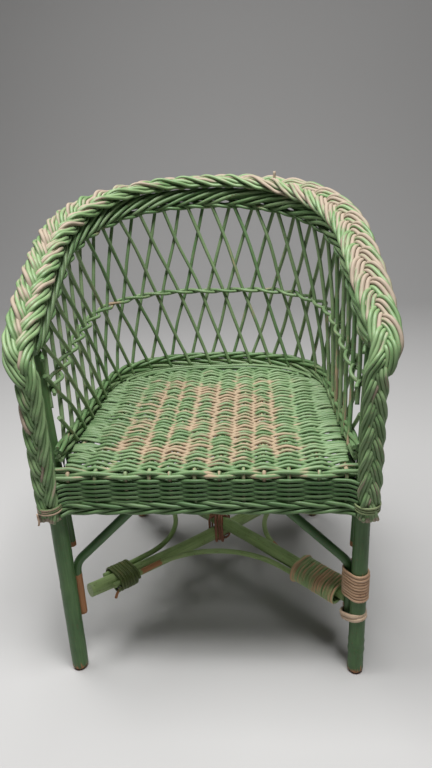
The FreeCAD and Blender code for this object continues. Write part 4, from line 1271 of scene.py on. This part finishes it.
right_arm = np.clip(middle[:, 0] / RIGHT_ARM_BLEND, 0, 1)
upward = np.clip(SIDEWAYS_SHARE + (1 - SIDEWAYS_SHARE) * normal[:, 2], 0, 1)
rubbing = (RUBBED_RIM + RUBBED_RIGHT_ARM * right_arm) * on_rim * upward
rubbing = rubbing + RIM_WEAR * on_rim - LEFT_FRONT_KEPT * (1 - right_arm) * (1 - on_rim)
rubbing = np.where(middle[:, 2] < PLAIT_FOOT + CUT_END, CUT_END_WEAR, rubbing)
plait = Rods()
for strand in range(PLAIT_STRANDS):
    angle = phase + 2 * math.pi * strand / PLAIT_STRANDS
    angle = angle + PLAIT_LINGER * np.cos(2 * angle)
    lap = sum(part * np.sin(times * angle) for times, part in LAP_SHARES)
    path = middle + across * (sizes["swing"] * np.sin(angle))[:, None]
    path = path + normal * (sizes["rise"] * lap)[:, None]
    turn = PLAIT_EDGE_TURN * np.sin(angle) ** 5 - sizes["lap"] * np.cos(angle)
    outward = normal * np.cos(turn)[:, None] + across * np.sin(turn)[:, None]
    beside = unit(np.cross(outward, np.gradient(path, axis=0)))
    for rod in range(PLAIT_RODS):
        place = 2 * rod / (PLAIT_RODS - 1) - 1
        offset = place * sizes["gap"] * (PLAIT_RODS - 1) / 2
        bulge = sizes["rod"] * PLAIT_BULGE * (1 - place ** 2) + uneven(middle, 0.0003, 60)
        line = path + beside * offset[:, None] + outward * bulge[:, None]
        size = sizes["rod"] * (1 + uneven(middle, 0.06, 50))
        wear = rubbing + LAP_WEAR * lap + chance.normal(0, 0.15) + uneven(middle, 0.2, 60)
        plait.add(line, size, wear, outward, PLAIT_ROD_FLAT)
stub = over_line[np.argmin(np.linalg.norm(over_line[:, :2] - STUB_PLACE, axis=1))]
stub_way = unit(UP + RIGHT * STUB_LEAN)
plait.add(stub + np.outer(np.linspace(0, STUB_LENGTH, STUB_POINTS), stub_way), STUB_RADIUS, STUB_WEAR)
plait.make("rim_plait_rods", rim_paint, "rim_rods", "rim_braid")

# Ties: a few turns of thin split cane round the foot of each plait and the leg behind it.
# They hold the plait to the leg. The left one has lost its paint, and its end hangs loose.
TIE_HALF_WIDTH = 0.0013
TIE_PITCH = 0.0029
TIE_TURNS = 3
TIE_HEIGHT = 0.220
TIE_HALF_UP = 0.0159
TIE_BEND = 0.0115
TIE_CLEAR = 0.0015
TIE_PAST_PLAIT = 0.006
TIE_WEAR = {"left": 0.75, "right": 0.05}
TIE_TAIL_START = (-0.0005, 0.004, 0.001)
TIE_TAIL = ((0.0, 0.0, 0.0), (0.0, 0.0, -0.004), (0.001, -0.001, -0.009), (0.0, -0.001, -0.013))
TIE_TAIL_STEP = 0.002
TIE_TAIL_THIN = 0.8
TIE_TAIL_WEAR = 0.9
PLAIT_HALF_FRONT = 0.0105
tie_paint = rod_finish("tie_cane", (0.12, 0.19, 0.075), (0.22, 0.26, 0.13), (0.50, 0.36, 0.26),
                       (0.22, 0.18, 0.10), wear=0.1, fading=0.35)
for side, sign in SIDES:
    inner = leg_at("front_" + side, TIE_HEIGHT)[0] - sign * LEG_RADIUS
    outer = sign * (PLAIT_FRONT_X + PLAIT_HALF_FRONT)
    half = abs(outer - inner) / 2
    start = np.array(((inner + outer) / 2, (PLAIT_FRONT_Y - TIE_PAST_PLAIT + LEG_RADIUS) / 2, TIE_HEIGHT))
    tie = Rods()
    wind(tie, start, UP, RIGHT, half + TIE_CLEAR, TIE_HALF_UP, TIE_BEND, TIE_HALF_WIDTH, TIE_PITCH,
         TIE_TURNS, TIE_WEAR[side])
    if side == "left":
        corner = start - RIGHT * half - BACK * TIE_HALF_UP + TIE_TAIL_START
        tail = Line(corner + np.array(TIE_TAIL)).spaced(TIE_TAIL_STEP)
        tie.add(tail, TIE_HALF_WIDTH * TIE_TAIL_THIN, TIE_TAIL_WEAR)
    tie.make("braid_tie_" + side + "_cane", tie_paint, "cane_tie", "braid_tie_" + side)

# Nails: small round-headed iron nails through the legs into the rail and the hoop, gone rusty.
# Only their heads show, so they keep the CAD shape and get the look of rust.
RUST_GRAIN = 900.0
RUST_DARK = (0.035, 0.025, 0.02, 1)
RUST_LIGHT = (0.20, 0.09, 0.04, 1)
RUST_ROUGHNESS = 0.75
RUST_METAL = 0.4
rust = bpy.data.materials.new("rusty_nail")
rust.use_nodes = True
rust_nodes, rust_links = rust.node_tree.nodes, rust.node_tree.links
rust_shader = rust_nodes["Principled BSDF"]
rust_place = rust_nodes.new("ShaderNodeTexCoord")
rust_noise = rust_nodes.new("ShaderNodeTexNoise")
rust_noise.inputs["Scale"].default_value = RUST_GRAIN
rust_ramp = rust_nodes.new("ShaderNodeValToRGB")
rust_ramp.color_ramp.elements[0].color = RUST_DARK
rust_ramp.color_ramp.elements[1].color = RUST_LIGHT
rust_links.new(rust_place.outputs["Object"], rust_noise.inputs["Vector"])
rust_links.new(rust_noise.outputs["Fac"], rust_ramp.inputs["Fac"])
rust_links.new(rust_ramp.outputs["Color"], rust_shader.inputs["Base Color"])
rust_shader.inputs["Roughness"].default_value = RUST_ROUGHNESS
rust_shader.inputs["Metallic"].default_value = RUST_METAL
nail_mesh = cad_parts["frame_nails"].data
nail_mesh.materials.clear()
nail_mesh.materials.append(rust)

# Floor, light and camera: a plain pale floor that curves up behind, soft light from above and in front,
# and the photograph's viewing angle.
FLOOR_HALF = 5.0
BACKDROP_Y = 1.5
BACKDROP_CURVE = 0.9
BACKDROP_TOP = 4.0
BACKDROP_STEPS = 25
FLOOR_COLOUR = (0.46, 0.455, 0.45, 1)
FLOOR_ROUGHNESS = 0.9
ROOM_COLOUR = (0.80, 0.80, 0.80, 1)
ROOM_LIGHT = 0.078
# Name, place, power and size of each lamp.
LIGHTS = (("key", (0.20, -0.45, 2.0), 36.5, 0.5), ("top", (-0.45, 0.0, 1.9), 27.0, 0.8))
LIGHT_AIM = (0.0, 0.0, 0.28)
CAMERA_PITCH = math.radians(21.5)
CAMERA_YAW = math.radians(4.2)
CAMERA_ROLL = math.radians(-2.6)
CAMERA_LENS = 28.125
CAMERA_SENSOR = 36.0
CAMERA_PLACE = (0.0536 + CHAIR_MIDDLE, -0.5246 + FRONT_LEG_LINE, 0.5597)
run = [(-FLOOR_HALF, 0.0)]
for angle in np.linspace(0, math.pi / 2, BACKDROP_STEPS):
    run.append((BACKDROP_Y + BACKDROP_CURVE * math.sin(angle), BACKDROP_CURVE * (1 - math.cos(angle))))
run.append((BACKDROP_Y + BACKDROP_CURVE, BACKDROP_TOP))
floor_points = [(side * FLOOR_HALF, y, z) for y, z in run for side in (-1, 1)]
floor_faces = [(i, i + 1, i + 3, i + 2) for i in range(0, len(floor_points) - 2, 2)]
floor_mesh = bpy.data.meshes.new("pale_floor")
floor_mesh.from_pydata(floor_points, [], floor_faces)
floor_mesh.polygons.foreach_set("use_smooth", [True] * len(floor_faces))
floor = bpy.data.objects.new("pale_floor", floor_mesh)
bpy.context.scene.collection.objects.link(floor)
floor_finish = bpy.data.materials.new("pale_floor")
floor_finish.use_nodes = True
floor_shader = floor_finish.node_tree.nodes["Principled BSDF"]
floor_shader.inputs["Base Color"].default_value = FLOOR_COLOUR
floor_shader.inputs["Roughness"].default_value = FLOOR_ROUGHNESS
floor.data.materials.append(floor_finish)

world = bpy.data.worlds.new("studio")
bpy.context.scene.world = world
world.use_nodes = True
world.node_tree.nodes["Background"].inputs["Color"].default_value = ROOM_COLOUR
world.node_tree.nodes["Background"].inputs["Strength"].default_value = ROOM_LIGHT
for label, place, energy, size in LIGHTS:
    lamp = bpy.data.lights.new(label + "_light", "AREA")
    lamp.energy = energy
    lamp.size = size
    light = bpy.data.objects.new(label + "_light", lamp)
    light.location = place
    away = np.array(place) - LIGHT_AIM
    light.rotation_euler = (math.atan2(math.hypot(away[0], away[1]), away[2]), 0.0,
                            math.atan2(away[0], -away[1]))
    bpy.context.scene.collection.objects.link(light)

camera = bpy.data.objects.new("camera", bpy.data.cameras.new("camera"))
camera.data.lens = CAMERA_LENS
camera.data.sensor_width = CAMERA_SENSOR
level_view = Matrix.Rotation(CAMERA_YAW, 4, "Z") @ Matrix.Rotation(math.pi / 2 - CAMERA_PITCH, 4, "X")
camera.matrix_world = Matrix.Translation(CAMERA_PLACE) @ level_view @ Matrix.Rotation(CAMERA_ROLL, 4, "Z")
bpy.context.scene.collection.objects.link(camera)
bpy.context.scene.camera = camera
bpy.context.scene.view_settings.view_transform = "Standard"
